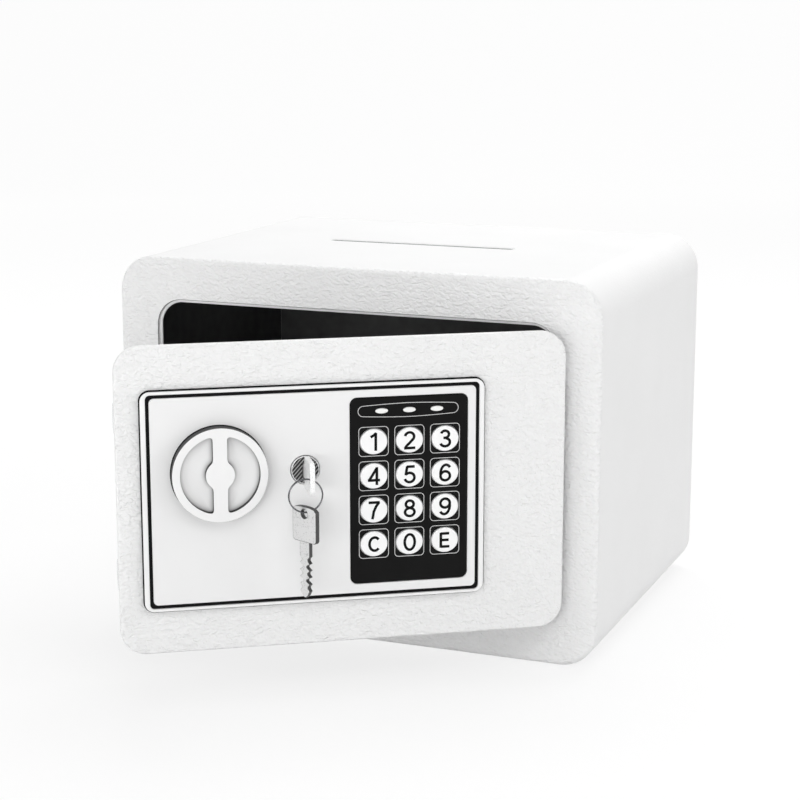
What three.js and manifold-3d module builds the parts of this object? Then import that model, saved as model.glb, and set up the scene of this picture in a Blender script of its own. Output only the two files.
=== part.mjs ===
// Mini safe with a keypad, a turn knob and an emergency key lock, its door standing open.
// Millimetres. X to the viewer's right, Y away from the viewer, Z up.
// The origin is the centre of the footprint, on the surface that the safe stands on.

import * as THREE from 'three';
import { mergeVertices } from 'three/addons/utils/BufferGeometryUtils.js';
import Module from 'manifold-3d';

const wasm = await Module();
wasm.setup();

// Case
const WIDTH = 230;
const HEIGHT = 170;
const DEPTH = 170;
const CORNER_RADIUS = 16.5;
const SHELL_WALL = 1.5;
const FRAME_THICKNESS = 2.5;
const BACK_THICKNESS = 1.5;
const BACK_FIT = 0.25;
const MARGIN_SIDE = 19.5;
const MARGIN_TOP = 19.25;
const MARGIN_BOTTOM = 19.75;
const OPENING_RADIUS = 12;
const SLOT_LENGTH = 94;
const SLOT_WIDTH = 4.4;
const SLOT_BEHIND_MIDDLE = 1;
const ANCHOR_SPACING = 100;
const ANCHOR_RADIUS = 5;
const FLOOR_ANCHOR_BEHIND_MIDDLE = 20;

// Fits between pieces
const SEAT = 0.25;
const RUNNING_FIT = 0.09;
const SLIDING_FIT = 0.3;

// Door leaf
const DOOR_THICKNESS = 3;
const DOOR_PROUD = 1.5;
const DOOR_GAP_SIDE = 1.25;
const DOOR_GAP_TOP = 0.9;
const DOOR_RADIUS = 11;
const DOOR_OPEN = THREE.MathUtils.degToRad(34);

// Hinges
const PIVOT_BESIDE_OPENING = 10.75;
const PIVOT_BEHIND_FRONT = 8;
const HINGE_END_DISTANCE = 22;
const ARM_HEIGHT = 8;
const ARM_THICKNESS = 2.5;
const ARM_REACH = 16.4;
const ARM_DEPTH = 16.5;
const ARM_PAD_LENGTH = 10;
const ARM_PAD_THICKNESS = 2;
const ARM_NECK = 6;
const BOSS_RADIUS = 4.2;
const PIN_RADIUS = 2;
const PIN_HEAD_RADIUS = 3.2;
const PIN_HEAD_HEIGHT = 1;
const PIN_TAIL = 1;
const EAR_THICKNESS = 2;
const EAR_HALF_WIDTH = 5;
const EAR_CLEARANCE = 0.4;
const BRACKET_WEB = 1.8;

// Control panel on the door
const PANEL_FROM_FREE_EDGE = 9.6;
const PANEL_FROM_HINGE_EDGE = 35.4;
const PANEL_HEIGHT = 93;
const PANEL_ABOVE_MIDDLE = 0.2;
const PANEL_RADIUS = 4.5;
const PANEL_INNER_RADIUS = 2;
const TRAY_THICKNESS = 1.25;
const RING_REVEAL = 0.5;
const RING_SIDE_WIDTH = 2.1;
const RING_END_WIDTH = 1.25;
const RING_THICKNESS = 1.1;
const GROOVE_WIDTH = 1.15;
const FACE_THICKNESS = 0.9;

// Keypad
const KEYPAD_WIDTH = 49.5;
const KEYPAD_HEIGHT = 79;
const KEYPAD_FROM_PANEL_EDGE = 7.8;
const KEYPAD_FROM_PANEL_TOP = 6.6;
const KEYPAD_RADIUS = 2.8;
const KEYPAD_THICKNESS = 1.3;
const KEY_PITCH_X = 15.1;
const KEY_PITCH_Z = 14.55;
const KEY_WIDTH = 11.4;
const KEY_HEIGHT = 10.7;
const KEY_PROUD = 0.75;
const KEY_FLANGE = 12.8;
const KEY_FLANGE_THICKNESS = 0.8;
const KEY_TRAVEL = 0.7;
const KEYS_BELOW_MIDDLE = 0.7;
const LIGHT_SPACING = 11.65;
const LIGHT_LENGTH = 5.4;
const LIGHT_HEIGHT = 2.2;
const LIGHT_PROUD = 0.2;
const LIGHT_BELOW_TOP = 5.65;
const LIGHT_BAR_MARGIN = 1;
const LIGHT_BAR_HEIGHT = 3.2;
const LIGHT_BAR_THICKNESS = 0.8;
const WELL_MARGIN = 2.4;
const WELL_WALL = 1;
const BOARD_THICKNESS = 1.6;

// Knob
const KNOB_FROM_PANEL_EDGE = 31.8;
const KNOB_FROM_PANEL_TOP = 34.9;
const KNOB_RADIUS = 19.6;
const KNOB_THICKNESS = 5.2;
const KNOB_RECESS_RADIUS = 16.4;
const KNOB_RECESS_DEPTH = 4.5;
const KNOB_BAR = 5.8;
const KNOB_HUB_RADIUS = 6;
const SHAFT_RADIUS = 4;
const SHAFT_FIT = 0.6;
const CRANK_RADIUS = 10;
const CRANK_REST = THREE.MathUtils.degToRad(45);
const CRANK_THICKNESS = 3;
const CRANK_HUB_RADIUS = 5.5;
const CRANK_TIP_RADIUS = 3.5;
const CRANK_PIN_RADIUS = 2;
const CRANK_BEFORE_CARRIER = 1.25;

// Bolts and what guides them
const BOLT_RADIUS = 7;
const BOLT_LENGTH = 27.6;
const BOLT_FROM_CHASSIS_END = 12;
const BOLT_BEHIND_FRAME = 0.5;
const BOLT_TIP_INSIDE_DOOR = 0.35;
const BOLT_CHAMFER = 1;
const BOLT_FIT = 0.135;
const CHASSIS_SHEET = 1;
const CHASSIS_FLANGE = 1.5;
const CHASSIS_WITHIN_COVER = 9.25;
const CHASSIS_INSET = 3.25;
const CHASSIS_BEHIND_KNOB = 19;
const CARRIER_THICKNESS = 2;
const CARRIER_BEHIND_BOLTS = 1.5;
const CARRIER_BAR = 4;
const CARRIER_LUG_REACH = 1;
const CARRIER_BELOW_KNOB = 13;
const CARRIER_ABOVE_KNOB = 27;
const CARRIER_BEYOND_KNOB = 22.9;
const CRANK_SLOT_FIT = 0.4;
const PINS_BEYOND_CARRIER = 2;
const POST_RADIUS = 2.5;
const POST_ABOVE_KNOB = 20;
const POST_BESIDE_KNOB = 4.1;

// Solenoid
const PLUNGER_RADIUS = 3;
const PLUNGER_LENGTH = 23.3;
const PLUNGER_TRAVEL = 4.5;
const PLUNGER_BESIDE_KNOB = 2.9;
const PLUNGER_BELOW_CARRIER = 0.7;
const NOTCH_CLEARANCE = 0.6;
const NOTCH_SPARE_DEPTH = 1;
const SOLENOID_WIDTH = 20;
const SOLENOID_DEPTH = 15;
const SOLENOID_HEIGHT = 24;
const SOLENOID_BELOW_CARRIER = 8;
const SOLENOID_FLOOR = 2;
const SHELF_THICKNESS = 2;

// Emergency lock and its keys
const LOCK_BESIDE_KEYPAD = 18.9;
const LOCK_BELOW_KNOB = 0.65;
const LOCK_NECK_RADIUS = 5.9;
const LOCK_NECK_PROUD = 0.45;
const LOCK_BODY_RADIUS = 8;
const LOCK_BODY_LENGTH = 15;
const PLUG_RADIUS = 5;
const PLUG_TAIL = 1;
const CAM_THICKNESS = 2;
const CAM_REACH = 11;
const CAM_RADIUS = 4;
const CAM_TIP_RADIUS = 2.5;
const BLADE_LENGTH = 20.5;
const BLADE_SHANK = 3;
const BLADE_POINT = 3;
const BLADE_WIDTH = 6;
const BLADE_THICKNESS = 1.8;
const BLADE_CUTS = [0.5, 1.3, 0.8, 1.5, 0.6];
const BLADE_FIT = 0.3;
const SHANK_SHOWN = 4;
const BOW_LENGTH = 13.9;
const BOW_WIDTH = 13.6;
const BOW_THICKNESS = 2;
const BOW_CROWN = 1.2;
const BOW_SHOULDER = 1.5;
const BOW_HOLE_RADIUS = 1.8;
const BOW_HOLE_FROM_END = 3.2;
const KEY_STANDOFF = 0.4;
const RING_RADIUS = 6.9;
const RING_WIRE_RADIUS = 0.5;
const RING_LEAN = THREE.MathUtils.degToRad(21);
const HANGING_GAP = 0.8;
const SPARE_TURN = THREE.MathUtils.degToRad(35);

// Cover, batteries and reset button inside the door
const COVER_WALL = 1.5;
const COVER_FROM_FREE_EDGE = 6.75;
const COVER_FROM_HINGE_EDGE = 18.25;
const COVER_FROM_DOOR_ENDS = 10.35;
const COVER_DEPTH = 28.25;
const COVER_RADIUS = 6;
const COVER_BOLT_CLEARANCE = 0.6;
const EAR_SIZE = 9;
const EAR_INSET = 0.5;
const EAR_SHEET = 1.5;
const EAR_FROM_CORNER = 50;
const SCREW_RADIUS = 1.5;
const SCREW_HEAD_RADIUS = 2.8;
const SCREW_HEAD_HEIGHT = 1.8;
const SCREW_DEPTH = 2;
const CELL_RADIUS = 7.25;
const CELL_LENGTH = 50.5;
const CELL_PITCH = 15;
const CELL_COUNT = 4;
const CELL_FIT = 0.4;
const CELL_SHOULDER = 1;
const CELL_NUB_RADIUS = 2.6;
const CONTACT_THICKNESS = 0.6;
const TRAY_WALL = 1.2;
const TRAY_FROM_COVER_SIDE = 10;
const TRAY_HEIGHT_ABOVE_MIDDLE = 0.5;
const LID_THICKNESS = 1.5;
const LID_OVERLAP = 3;
const LID_GRIP_LENGTH = 16;
const LID_GRIP_HEIGHT = 3;
const LID_GRIP_PROUD = 0.75;
const LID_GRIP_FROM_TOP = 6.5;
const RAIL_THICKNESS = 1.2;
const RAIL_LIP = 2;
const RESET_RADIUS = 3;
const RESET_FLANGE_RADIUS = 4.5;
const RESET_FLANGE_THICKNESS = 1;
const RESET_PROUD = 2;
const RESET_FROM_COVER_TOP = 14.25;
const RESET_BESIDE_TRAY = 14;

// Planes of the case
const front = -DEPTH / 2;
const back = DEPTH / 2;
const frameBack = front + FRAME_THICKNESS;
const openingRight = WIDTH / 2 - MARGIN_SIDE;
const openingTop = HEIGHT - MARGIN_TOP;
const openingMiddle = (openingTop + MARGIN_BOTTOM) / 2;

// Planes of the closed door, from its front face to the back of its cover
const doorHalf = openingRight - DOOR_GAP_SIDE;
const doorBottom = MARGIN_BOTTOM + DOOR_GAP_TOP;
const doorTop = openingTop - DOOR_GAP_TOP;
const doorMiddle = (doorBottom + doorTop) / 2;
const doorFront = front - DOOR_PROUD;
const doorBack = doorFront + DOOR_THICKNESS;
const onDoor = doorBack + SEAT;
const trayFront = doorFront - SEAT - TRAY_THICKNESS;
const faceFront = trayFront - SEAT - FACE_THICKNESS;
const keypadFront = trayFront - SEAT - KEYPAD_THICKNESS;
const keyBack = trayFront + KEY_FLANGE_THICKNESS;
const boardFront = keyBack + KEY_TRAVEL + SLIDING_FIT;
const boltY = frameBack + BOLT_BEHIND_FRAME + BOLT_RADIUS;
const carrierFront = boltY + BOLT_RADIUS + CARRIER_BEHIND_BOLTS;
const carrierBack = carrierFront + CARRIER_THICKNESS;
const crankBack = carrierFront - CRANK_BEFORE_CARRIER;
const crankFront = crankBack - CRANK_THICKNESS;
const lockBack = onDoor + LOCK_BODY_LENGTH;
const coverBack = onDoor + COVER_DEPTH;
const coverInside = coverBack - COVER_WALL;

// Places on the closed door
const pivot = { x: openingRight + PIVOT_BESIDE_OPENING, y: front + PIVOT_BEHIND_FRONT };
const hingeHeights = {
  bottom: MARGIN_BOTTOM + HINGE_END_DISTANCE,
  top: openingTop - HINGE_END_DISTANCE,
};
const panel = {
  left: -doorHalf + PANEL_FROM_FREE_EDGE,
  right: doorHalf - PANEL_FROM_HINGE_EDGE,
  bottom: doorMiddle + PANEL_ABOVE_MIDDLE - PANEL_HEIGHT / 2,
  top: doorMiddle + PANEL_ABOVE_MIDDLE + PANEL_HEIGHT / 2,
};
const keypad = {
  left: panel.right - KEYPAD_FROM_PANEL_EDGE - KEYPAD_WIDTH,
  right: panel.right - KEYPAD_FROM_PANEL_EDGE,
  bottom: panel.top - KEYPAD_FROM_PANEL_TOP - KEYPAD_HEIGHT,
  top: panel.top - KEYPAD_FROM_PANEL_TOP,
};
keypad.x = (keypad.left + keypad.right) / 2;
keypad.z = (keypad.bottom + keypad.top) / 2;
const knob = { x: panel.left + KNOB_FROM_PANEL_EDGE, z: panel.top - KNOB_FROM_PANEL_TOP };
const lock = { x: keypad.left - LOCK_BESIDE_KEYPAD, z: knob.z - LOCK_BELOW_KNOB };
const cover = {
  left: -doorHalf + COVER_FROM_FREE_EDGE,
  right: doorHalf - COVER_FROM_HINGE_EDGE,
  bottom: doorBottom + COVER_FROM_DOOR_ENDS,
  top: doorTop - COVER_FROM_DOOR_ENDS,
};
const chassis = {
  left: -doorHalf + CHASSIS_INSET,
  right: knob.x + CHASSIS_BEHIND_KNOB,
  bottom: cover.bottom + CHASSIS_WITHIN_COVER,
  top: cover.top - CHASSIS_WITHIN_COVER,
};
const crankSwing = CRANK_RADIUS * Math.sin(CRANK_REST);
const boltTravel = 2 * crankSwing;
const boltTip = -doorHalf + BOLT_TIP_INSIDE_DOOR;
const boltEnd = boltTip + BOLT_LENGTH;
const boltHeights = {
  lower: chassis.bottom + BOLT_FROM_CHASSIS_END,
  upper: chassis.top - BOLT_FROM_CHASSIS_END,
};
const carrier = {
  left: boltEnd + SEAT,
  right: knob.x + CARRIER_BEYOND_KNOB,
  bottom: knob.z - CARRIER_BELOW_KNOB,
  top: knob.z + CARRIER_ABOVE_KNOB,
};
const plunger = {
  x: knob.x + PLUNGER_BESIDE_KNOB,
  y: (carrierFront + carrierBack) / 2,
  top: carrier.bottom - PLUNGER_BELOW_CARRIER,
};
const post = { x: knob.x - POST_BESIDE_KNOB, z: knob.z + POST_ABOVE_KNOB };
const tray = {
  right: cover.right - TRAY_FROM_COVER_SIDE,
  z: openingMiddle + TRAY_HEIGHT_ABOVE_MIDDLE,
  halfHeight: CELL_LENGTH / 2 + CONTACT_THICKNESS + 3 * SEAT,
};
tray.left = tray.right - CELL_COUNT * CELL_PITCH - 2 * CELL_FIT;
const cellY = coverInside - CELL_FIT - CELL_RADIUS;
const trayFloor = cellY - CELL_RADIUS - CELL_FIT;
const reset = { x: tray.left - RESET_BESIDE_TRAY, z: cover.top - RESET_FROM_COVER_TOP };

// Finishes

const finish = (color, roughness, metalness) =>
  new THREE.MeshStandardMaterial({ color, roughness, metalness });
const whiteCoat = () => finish(0xeeeeee, 0.55, 0);
const satinWhite = () => finish(0xf2f2f2, 0.4, 0.1);
const darkPlastic = () => finish(0x1b1b1d, 0.5, 0);
const glossBlack = () => finish(0x0b0b0c, 0.15, 0);
const zincSteel = () => finish(0xb8bcc0, 0.35, 0.9);
const brightSteel = () => finish(0xd4d6d8, 0.2, 1);
const keySilver = () => finish(0xe6e6e6, 0.3, 0.2);
const lightLens = () => finish(0xf4f4f0, 0.25, 0);
const boardGreen = () => finish(0x1f5a37, 0.5, 0);
const cellWrap = () => finish(0x30343c, 0.35, 0.3);
const resetRed = () => finish(0xb4201c, 0.4, 0);

// Solids

function solid(geometry) {
  const bare = geometry.clone();
  bare.deleteAttribute('normal');
  bare.deleteAttribute('uv');
  const merged = mergeVertices(bare, 1e-4);
  return new wasm.Manifold(new wasm.Mesh({
    numProp: 3,
    vertProperties: new Float32Array(merged.attributes.position.array),
    triVerts: new Uint32Array(merged.index.array),
  }));
}

function geometryOf(body) {
  const made = body.getMesh();
  const geometry = new THREE.BufferGeometry();
  geometry.setAttribute('position', new THREE.BufferAttribute(new Float32Array(made.vertProperties), 3));
  geometry.setIndex(new THREE.BufferAttribute(new Uint32Array(made.triVerts), 1));
  geometry.computeVertexNormals();
  return geometry;
}

function joined(first, ...others) {
  return others.reduce((sum, other) => sum.add(other), first);
}

function cut(first, ...others) {
  return others.reduce((rest, other) => rest.subtract(other), first);
}

function box(x0, x1, y0, y1, z0, z1) {
  const shape = new THREE.BoxGeometry(x1 - x0, y1 - y0, z1 - z0);
  return solid(shape.translate((x0 + x1) / 2, (y0 + y1) / 2, (z0 + z1) / 2));
}

function rodY(x, z, y0, y1, radius, sides = 32) {
  const rod = new THREE.CylinderGeometry(radius, radius, y1 - y0, sides);
  return solid(rod.translate(x, (y0 + y1) / 2, z));
}

function rodZ(x, y, z0, z1, radius, sides = 24) {
  const rod = new THREE.CylinderGeometry(radius, radius, z1 - z0, sides);
  return solid(rod.rotateX(Math.PI / 2).translate(x, y, (z0 + z1) / 2));
}

// A rod along X with both ends chamfered.
function boltX(x0, x1, y, z, radius, chamfer, sides = 32) {
  const profile = [
    new THREE.Vector2(0, x0),
    new THREE.Vector2(radius - chamfer, x0),
    new THREE.Vector2(radius, x0 + chamfer),
    new THREE.Vector2(radius, x1 - chamfer),
    new THREE.Vector2(radius - chamfer, x1),
    new THREE.Vector2(0, x1),
  ];
  const turned = new THREE.LatheGeometry(profile, sides).rotateZ(-Math.PI / 2);
  return solid(turned.translate(0, y, z));
}

function rodX(x0, x1, y, z, radius, sides = 24) {
  const rod = new THREE.CylinderGeometry(radius, radius, x1 - x0, sides);
  return solid(rod.rotateZ(Math.PI / 2).translate((x0 + x1) / 2, y, z));
}

// Outlines, as points that run anticlockwise

function arcPoints(cx, cy, rx, ry, from, to, steps) {
  return Array.from({ length: steps + 1 }, (_, i) => {
    const angle = from + (to - from) * i / steps;
    return new THREE.Vector2(cx + rx * Math.cos(angle), cy + ry * Math.sin(angle));
  });
}

function roundedRect(x0, x1, y0, y1, radius, steps = 8) {
  const quarter = Math.PI / 2;
  return [
    ...arcPoints(x1 - radius, y1 - radius, radius, radius, 0, quarter, steps),
    ...arcPoints(x0 + radius, y1 - radius, radius, radius, quarter, 2 * quarter, steps),
    ...arcPoints(x0 + radius, y0 + radius, radius, radius, 2 * quarter, 3 * quarter, steps),
    ...arcPoints(x1 - radius, y0 + radius, radius, radius, 3 * quarter, 4 * quarter, steps),
  ];
}

// An oblong with round ends, along either axis.
function oblong(x0, x1, y0, y1, steps = 10) {
  return roundedRect(x0, x1, y0, y1, Math.min(x1 - x0, y1 - y0) / 2 - 1e-3, steps);
}

function ellipse(cx, cy, rx, ry, steps) {
  return arcPoints(cx, cy, rx, ry, 0, 2 * Math.PI, steps).slice(0, -1);
}

// An outline in X and Z, given its thickness from y0 to y1.
function plateY(outline, y0, y1) {
  const slab = new THREE.ExtrudeGeometry(new THREE.Shape(outline), { depth: y1 - y0, bevelEnabled: false });
  return solid(slab.rotateX(Math.PI / 2).translate(0, y1, 0));
}

// An outline in X and Y, given its height from z0 to z1.
function plateZ(outline, z0, z1) {
  const slab = new THREE.ExtrudeGeometry(new THREE.Shape(outline), { depth: z1 - z0, bevelEnabled: false });
  return solid(slab.translate(0, 0, z0));
}

function part(name, body, material) {
  const mesh = new THREE.Mesh(geometryOf(body), material);
  mesh.name = name;
  return mesh;
}

// Case

const caseOutline = roundedRect(-WIDTH / 2, WIDTH / 2, 0, HEIGHT, CORNER_RADIUS, 12);

function bodyShell() {
  const outer = plateY(caseOutline, frameBack, back);
  const inner = plateY(
    roundedRect(-WIDTH / 2 + SHELL_WALL, WIDTH / 2 - SHELL_WALL, SHELL_WALL, HEIGHT - SHELL_WALL,
      CORNER_RADIUS - SHELL_WALL, 12),
    frameBack - 1, back + 1,
  );
  const slotFront = SLOT_BEHIND_MIDDLE - SLOT_WIDTH / 2;
  const slot = plateZ(
    oblong(-SLOT_LENGTH / 2, SLOT_LENGTH / 2, slotFront, slotFront + SLOT_WIDTH, 4),
    HEIGHT - 2 * SHELL_WALL, HEIGHT + 1,
  );
  const anchors = [-1, 1].map((side) =>
    rodZ(side * ANCHOR_SPACING / 2, FLOOR_ANCHOR_BEHIND_MIDDLE, -1, 2 * SHELL_WALL, ANCHOR_RADIUS));
  return part('body_shell', cut(outer, inner, slot, ...anchors), whiteCoat());
}

function frontFrame() {
  const doorway = roundedRect(-openingRight, openingRight, MARGIN_BOTTOM, openingTop, OPENING_RADIUS, 12);
  const cutter = plateY(doorway, front - 1, frameBack + 1);
  return part('front_frame', cut(plateY(caseOutline, front, frameBack), cutter), whiteCoat());
}

function backPlate() {
  const inset = SHELL_WALL + BACK_FIT;
  const plate = plateY(
    roundedRect(-WIDTH / 2 + inset, WIDTH / 2 - inset, inset, HEIGHT - inset, CORNER_RADIUS - inset, 8),
    back - BACK_THICKNESS, back);
  const anchors = [-1, 1].map((side) =>
    rodY(side * ANCHOR_SPACING / 2, HEIGHT / 2, back - BACK_THICKNESS - 1, back + 1, ANCHOR_RADIUS, 24));
  return part('back_plate', cut(plate, ...anchors), whiteCoat());
}

// Hinges

const earInner = ARM_HEIGHT / 2 + EAR_CLEARANCE;
const earOuter = earInner + EAR_THICKNESS;
const wallInside = WIDTH / 2 - SHELL_WALL;

function hingeBracket(name, z) {
  const webBack = wallInside - SEAT;
  const webFront = webBack - BRACKET_WEB;
  const y0 = pivot.y - EAR_HALF_WIDTH;
  const y1 = pivot.y + EAR_HALF_WIDTH;
  const ear = (z0, z1) => box(pivot.x - EAR_HALF_WIDTH, webBack, y0, y1, z0, z1);
  const web = box(webFront, webBack, y0, y1, z - earOuter, z + earOuter);
  const bore = rodZ(pivot.x, pivot.y, z - earOuter - 1, z + earOuter + 1, PIN_RADIUS + RUNNING_FIT);
  const ears = joined(web, ear(z - earOuter, z - earInner), ear(z + earInner, z + earOuter));
  return part(name, cut(ears, bore), zincSteel());
}

function hingePin(name, z) {
  const seat = z + earOuter + RUNNING_FIT;
  const pin = rodZ(pivot.x, pivot.y, z - earOuter - PIN_TAIL, seat + PIN_HEAD_HEIGHT / 2, PIN_RADIUS);
  const head = rodZ(pivot.x, pivot.y, seat, seat + PIN_HEAD_HEIGHT, PIN_HEAD_RADIUS);
  return part(name, joined(pin, head), brightSteel());
}

// A gooseneck: from a pad on the door, back past the frame's edge, across, and forward to the pin.
function hingeArm(name, z) {
  const z0 = z - ARM_HEIGHT / 2;
  const z1 = z + ARM_HEIGHT / 2;
  const legOuter = pivot.x - ARM_REACH;
  const legInner = legOuter + ARM_THICKNESS;
  const reach = pivot.y + ARM_DEPTH;
  const pad = box(legOuter - ARM_PAD_LENGTH, legInner, onDoor, onDoor + ARM_PAD_THICKNESS, z0, z1);
  const leg = box(legOuter, legInner, onDoor, reach, z0, z1);
  const across = box(legOuter, pivot.x + ARM_NECK / 2, reach - ARM_THICKNESS, reach, z0, z1);
  const neck = box(pivot.x - ARM_NECK / 2, pivot.x + ARM_NECK / 2, pivot.y, reach, z0, z1);
  const boss = rodZ(pivot.x, pivot.y, z0, z1, BOSS_RADIUS);
  const bore = rodZ(pivot.x, pivot.y, z0 - 1, z1 + 1, PIN_RADIUS + RUNNING_FIT);
  return part(name, cut(joined(pad, leg, across, neck, boss), bore), zincSteel());
}

// Door leaf and control panel

const wellOuter = {
  x0: keypad.left + WELL_MARGIN - WELL_WALL,
  x1: keypad.right - WELL_MARGIN + WELL_WALL,
  z0: keypad.bottom + WELL_MARGIN - WELL_WALL,
  z1: keypad.top - WELL_MARGIN + WELL_WALL,
};

function around(rect, margin, y0, y1) {
  return box(rect.x0 - margin, rect.x1 + margin, y0, y1, rect.z0 - margin, rect.z1 + margin);
}

const earCentres = [cover.left + EAR_FROM_CORNER, cover.right - EAR_FROM_CORNER];
const screwHeights = [cover.bottom - EAR_SIZE / 2, cover.top + EAR_SIZE / 2];
const screwPlaces = earCentres.flatMap((x) => screwHeights.map((z) => ({ x, z })));

function shaftHoleAt(y0, y1) {
  return rodY(knob.x, knob.z, y0, y1, SHAFT_RADIUS + SHAFT_FIT, 24);
}

function lockHoleAt(y0, y1) {
  return rodY(lock.x, lock.z, y0, y1, LOCK_NECK_RADIUS + SLIDING_FIT, 24);
}

function doorPlate() {
  const outline = roundedRect(-doorHalf, doorHalf, doorBottom, doorTop, DOOR_RADIUS, 10);
  const plate = plateY(outline, doorFront, doorBack);
  const window = around(wellOuter, SEAT, doorFront - 1, doorBack + 1);
  const shaftHole = shaftHoleAt(doorFront - 1, doorBack + 1);
  const lockHole = lockHoleAt(doorFront - 1, doorBack + 1);
  const screwHoles = screwPlaces.map(({ x, z }) =>
    rodY(x, z, doorBack - SCREW_DEPTH - SEAT, doorBack + 1, SCREW_RADIUS + RUNNING_FIT, 12));
  return part('door_plate', cut(plate, window, shaftHole, lockHole, ...screwHoles), whiteCoat());
}

function panelOutline(side, end) {
  const radius = Math.max(PANEL_RADIUS - side, PANEL_INNER_RADIUS);
  return roundedRect(panel.left + side, panel.right - side, panel.bottom + end, panel.top - end, radius, 6);
}

function panelTray() {
  const plate = plateY(panelOutline(0, 0), trayFront, doorFront - SEAT);
  const well = around(wellOuter, 0, trayFront + TRAY_THICKNESS / 2, doorBack);
  const hollow = around(wellOuter, -WELL_WALL, trayFront - 1, doorBack + 1);
  const shaftHole = shaftHoleAt(trayFront - 1, doorFront);
  const lockHole = lockHoleAt(trayFront - 1, doorFront);
  return part('panel_tray', cut(joined(plate, well), hollow, shaftHole, lockHole), darkPlastic());
}

function bezelRing() {
  const y1 = trayFront - SEAT;
  const outer = plateY(panelOutline(RING_REVEAL, RING_REVEAL), y1 - RING_THICKNESS, y1);
  const inner = plateY(panelOutline(RING_REVEAL + RING_SIDE_WIDTH, RING_REVEAL + RING_END_WIDTH),
    y1 - RING_THICKNESS - 1, y1 + 1);
  return part('bezel_ring', cut(outer, inner), satinWhite());
}

function facePanel() {
  const groove = RING_REVEAL + GROOVE_WIDTH;
  const plate = plateY(panelOutline(groove + RING_SIDE_WIDTH, groove + RING_END_WIDTH),
    faceFront, trayFront - SEAT);
  const keypadHole = plateY(
    roundedRect(keypad.left - SEAT, keypad.right + SEAT, keypad.bottom - SEAT, keypad.top + SEAT,
      KEYPAD_RADIUS + SEAT, 5),
    faceFront - 1, trayFront);
  const shaftHole = shaftHoleAt(faceFront - 1, trayFront);
  const lockHole = lockHoleAt(faceFront - 1, trayFront);
  return part('face_panel', cut(plate, keypadHole, shaftHole, lockHole), satinWhite());
}

// Keypad

const keyNames = [['1', '2', '3'], ['4', '5', '6'], ['7', '8', '9'], ['c', '0', 'e']];
const keysMiddle = keypad.z - KEYS_BELOW_MIDDLE;
const middleRow = (keyNames.length - 1) / 2;
const keyPlaces = keyNames.flatMap((row, i) => row.map((name, j) => ({
  name,
  x: keypad.x + (j - 1) * KEY_PITCH_X,
  z: keysMiddle + (middleRow - i) * KEY_PITCH_Z,
})));
const lightHeight = keypad.top - LIGHT_BELOW_TOP;
const lightPlaces = [-1, 0, 1].map((i) => keypad.x + i * LIGHT_SPACING);

function lightPeg(x, margin, y0, y1) {
  return plateY(ellipse(x, lightHeight, LIGHT_LENGTH / 2 + margin, LIGHT_HEIGHT / 2 + margin, 16), y0, y1);
}

function keypadPlate() {
  const y1 = trayFront - SEAT;
  const plate = plateY(
    roundedRect(keypad.left, keypad.right, keypad.bottom, keypad.top, KEYPAD_RADIUS, 5), keypadFront, y1);
  const keyHoles = keyPlaces.map(({ x, z }) => plateY(
    ellipse(x, z, KEY_WIDTH / 2 + SLIDING_FIT, KEY_HEIGHT / 2 + SLIDING_FIT, 20), keypadFront - 1, y1 + 1));
  const lightHoles = lightPlaces.map((x) => lightPeg(x, SEAT / 2, keypadFront - 1, y1 + 1));
  return part('keypad_plate', cut(plate, ...keyHoles, ...lightHoles), glossBlack());
}

function pushKey({ name, x, z }) {
  const cap = plateY(ellipse(x, z, KEY_WIDTH / 2, KEY_HEIGHT / 2, 20), keypadFront - KEY_PROUD, keyBack);
  const flange = box(x - KEY_FLANGE / 2, x + KEY_FLANGE / 2, trayFront, keyBack,
    z - KEY_FLANGE / 2, z + KEY_FLANGE / 2);
  return part(`key_${name}`, joined(cap, flange), keySilver());
}

function ledLens() {
  const half = LIGHT_SPACING + LIGHT_LENGTH / 2 + LIGHT_BAR_MARGIN;
  const bar = box(keypad.x - half, keypad.x + half, trayFront, trayFront + LIGHT_BAR_THICKNESS,
    lightHeight - LIGHT_BAR_HEIGHT / 2, lightHeight + LIGHT_BAR_HEIGHT / 2);
  const pegFront = keypadFront - LIGHT_PROUD;
  const pegs = lightPlaces.map((x) => lightPeg(x, 0, pegFront, trayFront + LIGHT_BAR_THICKNESS / 2));
  return part('led_lens', joined(bar, ...pegs), lightLens());
}

function keypadBoard() {
  const board = around(wellOuter, -WELL_WALL - SEAT, boardFront, boardFront + BOARD_THICKNESS);
  return part('keypad_board', board, boardGreen());
}

// Knob and crank

function turnKnob() {
  const y1 = faceFront - SEAT;
  const y0 = y1 - KNOB_THICKNESS;
  const disc = rodY(knob.x, knob.z, y0, y1, KNOB_RADIUS, 48);
  const recess = rodY(knob.x, knob.z, y0 - 1, y0 + KNOB_RECESS_DEPTH, KNOB_RECESS_RADIUS, 48);
  const bar = box(knob.x - KNOB_BAR / 2, knob.x + KNOB_BAR / 2, y0, y1,
    knob.z - KNOB_RECESS_RADIUS, knob.z + KNOB_RECESS_RADIUS);
  const hub = rodY(knob.x, knob.z, y0, y1, KNOB_HUB_RADIUS, 24);
  return part('turn_knob', joined(cut(disc, recess), bar, hub), satinWhite());
}

function knobShaft() {
  const shaft = rodY(knob.x, knob.z, faceFront, crankFront - SEAT, SHAFT_RADIUS, 24);
  return part('knob_shaft', shaft, zincSteel());
}

const crankPin = { x: knob.x + crankSwing, z: knob.z + CRANK_RADIUS * Math.cos(CRANK_REST) };

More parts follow.
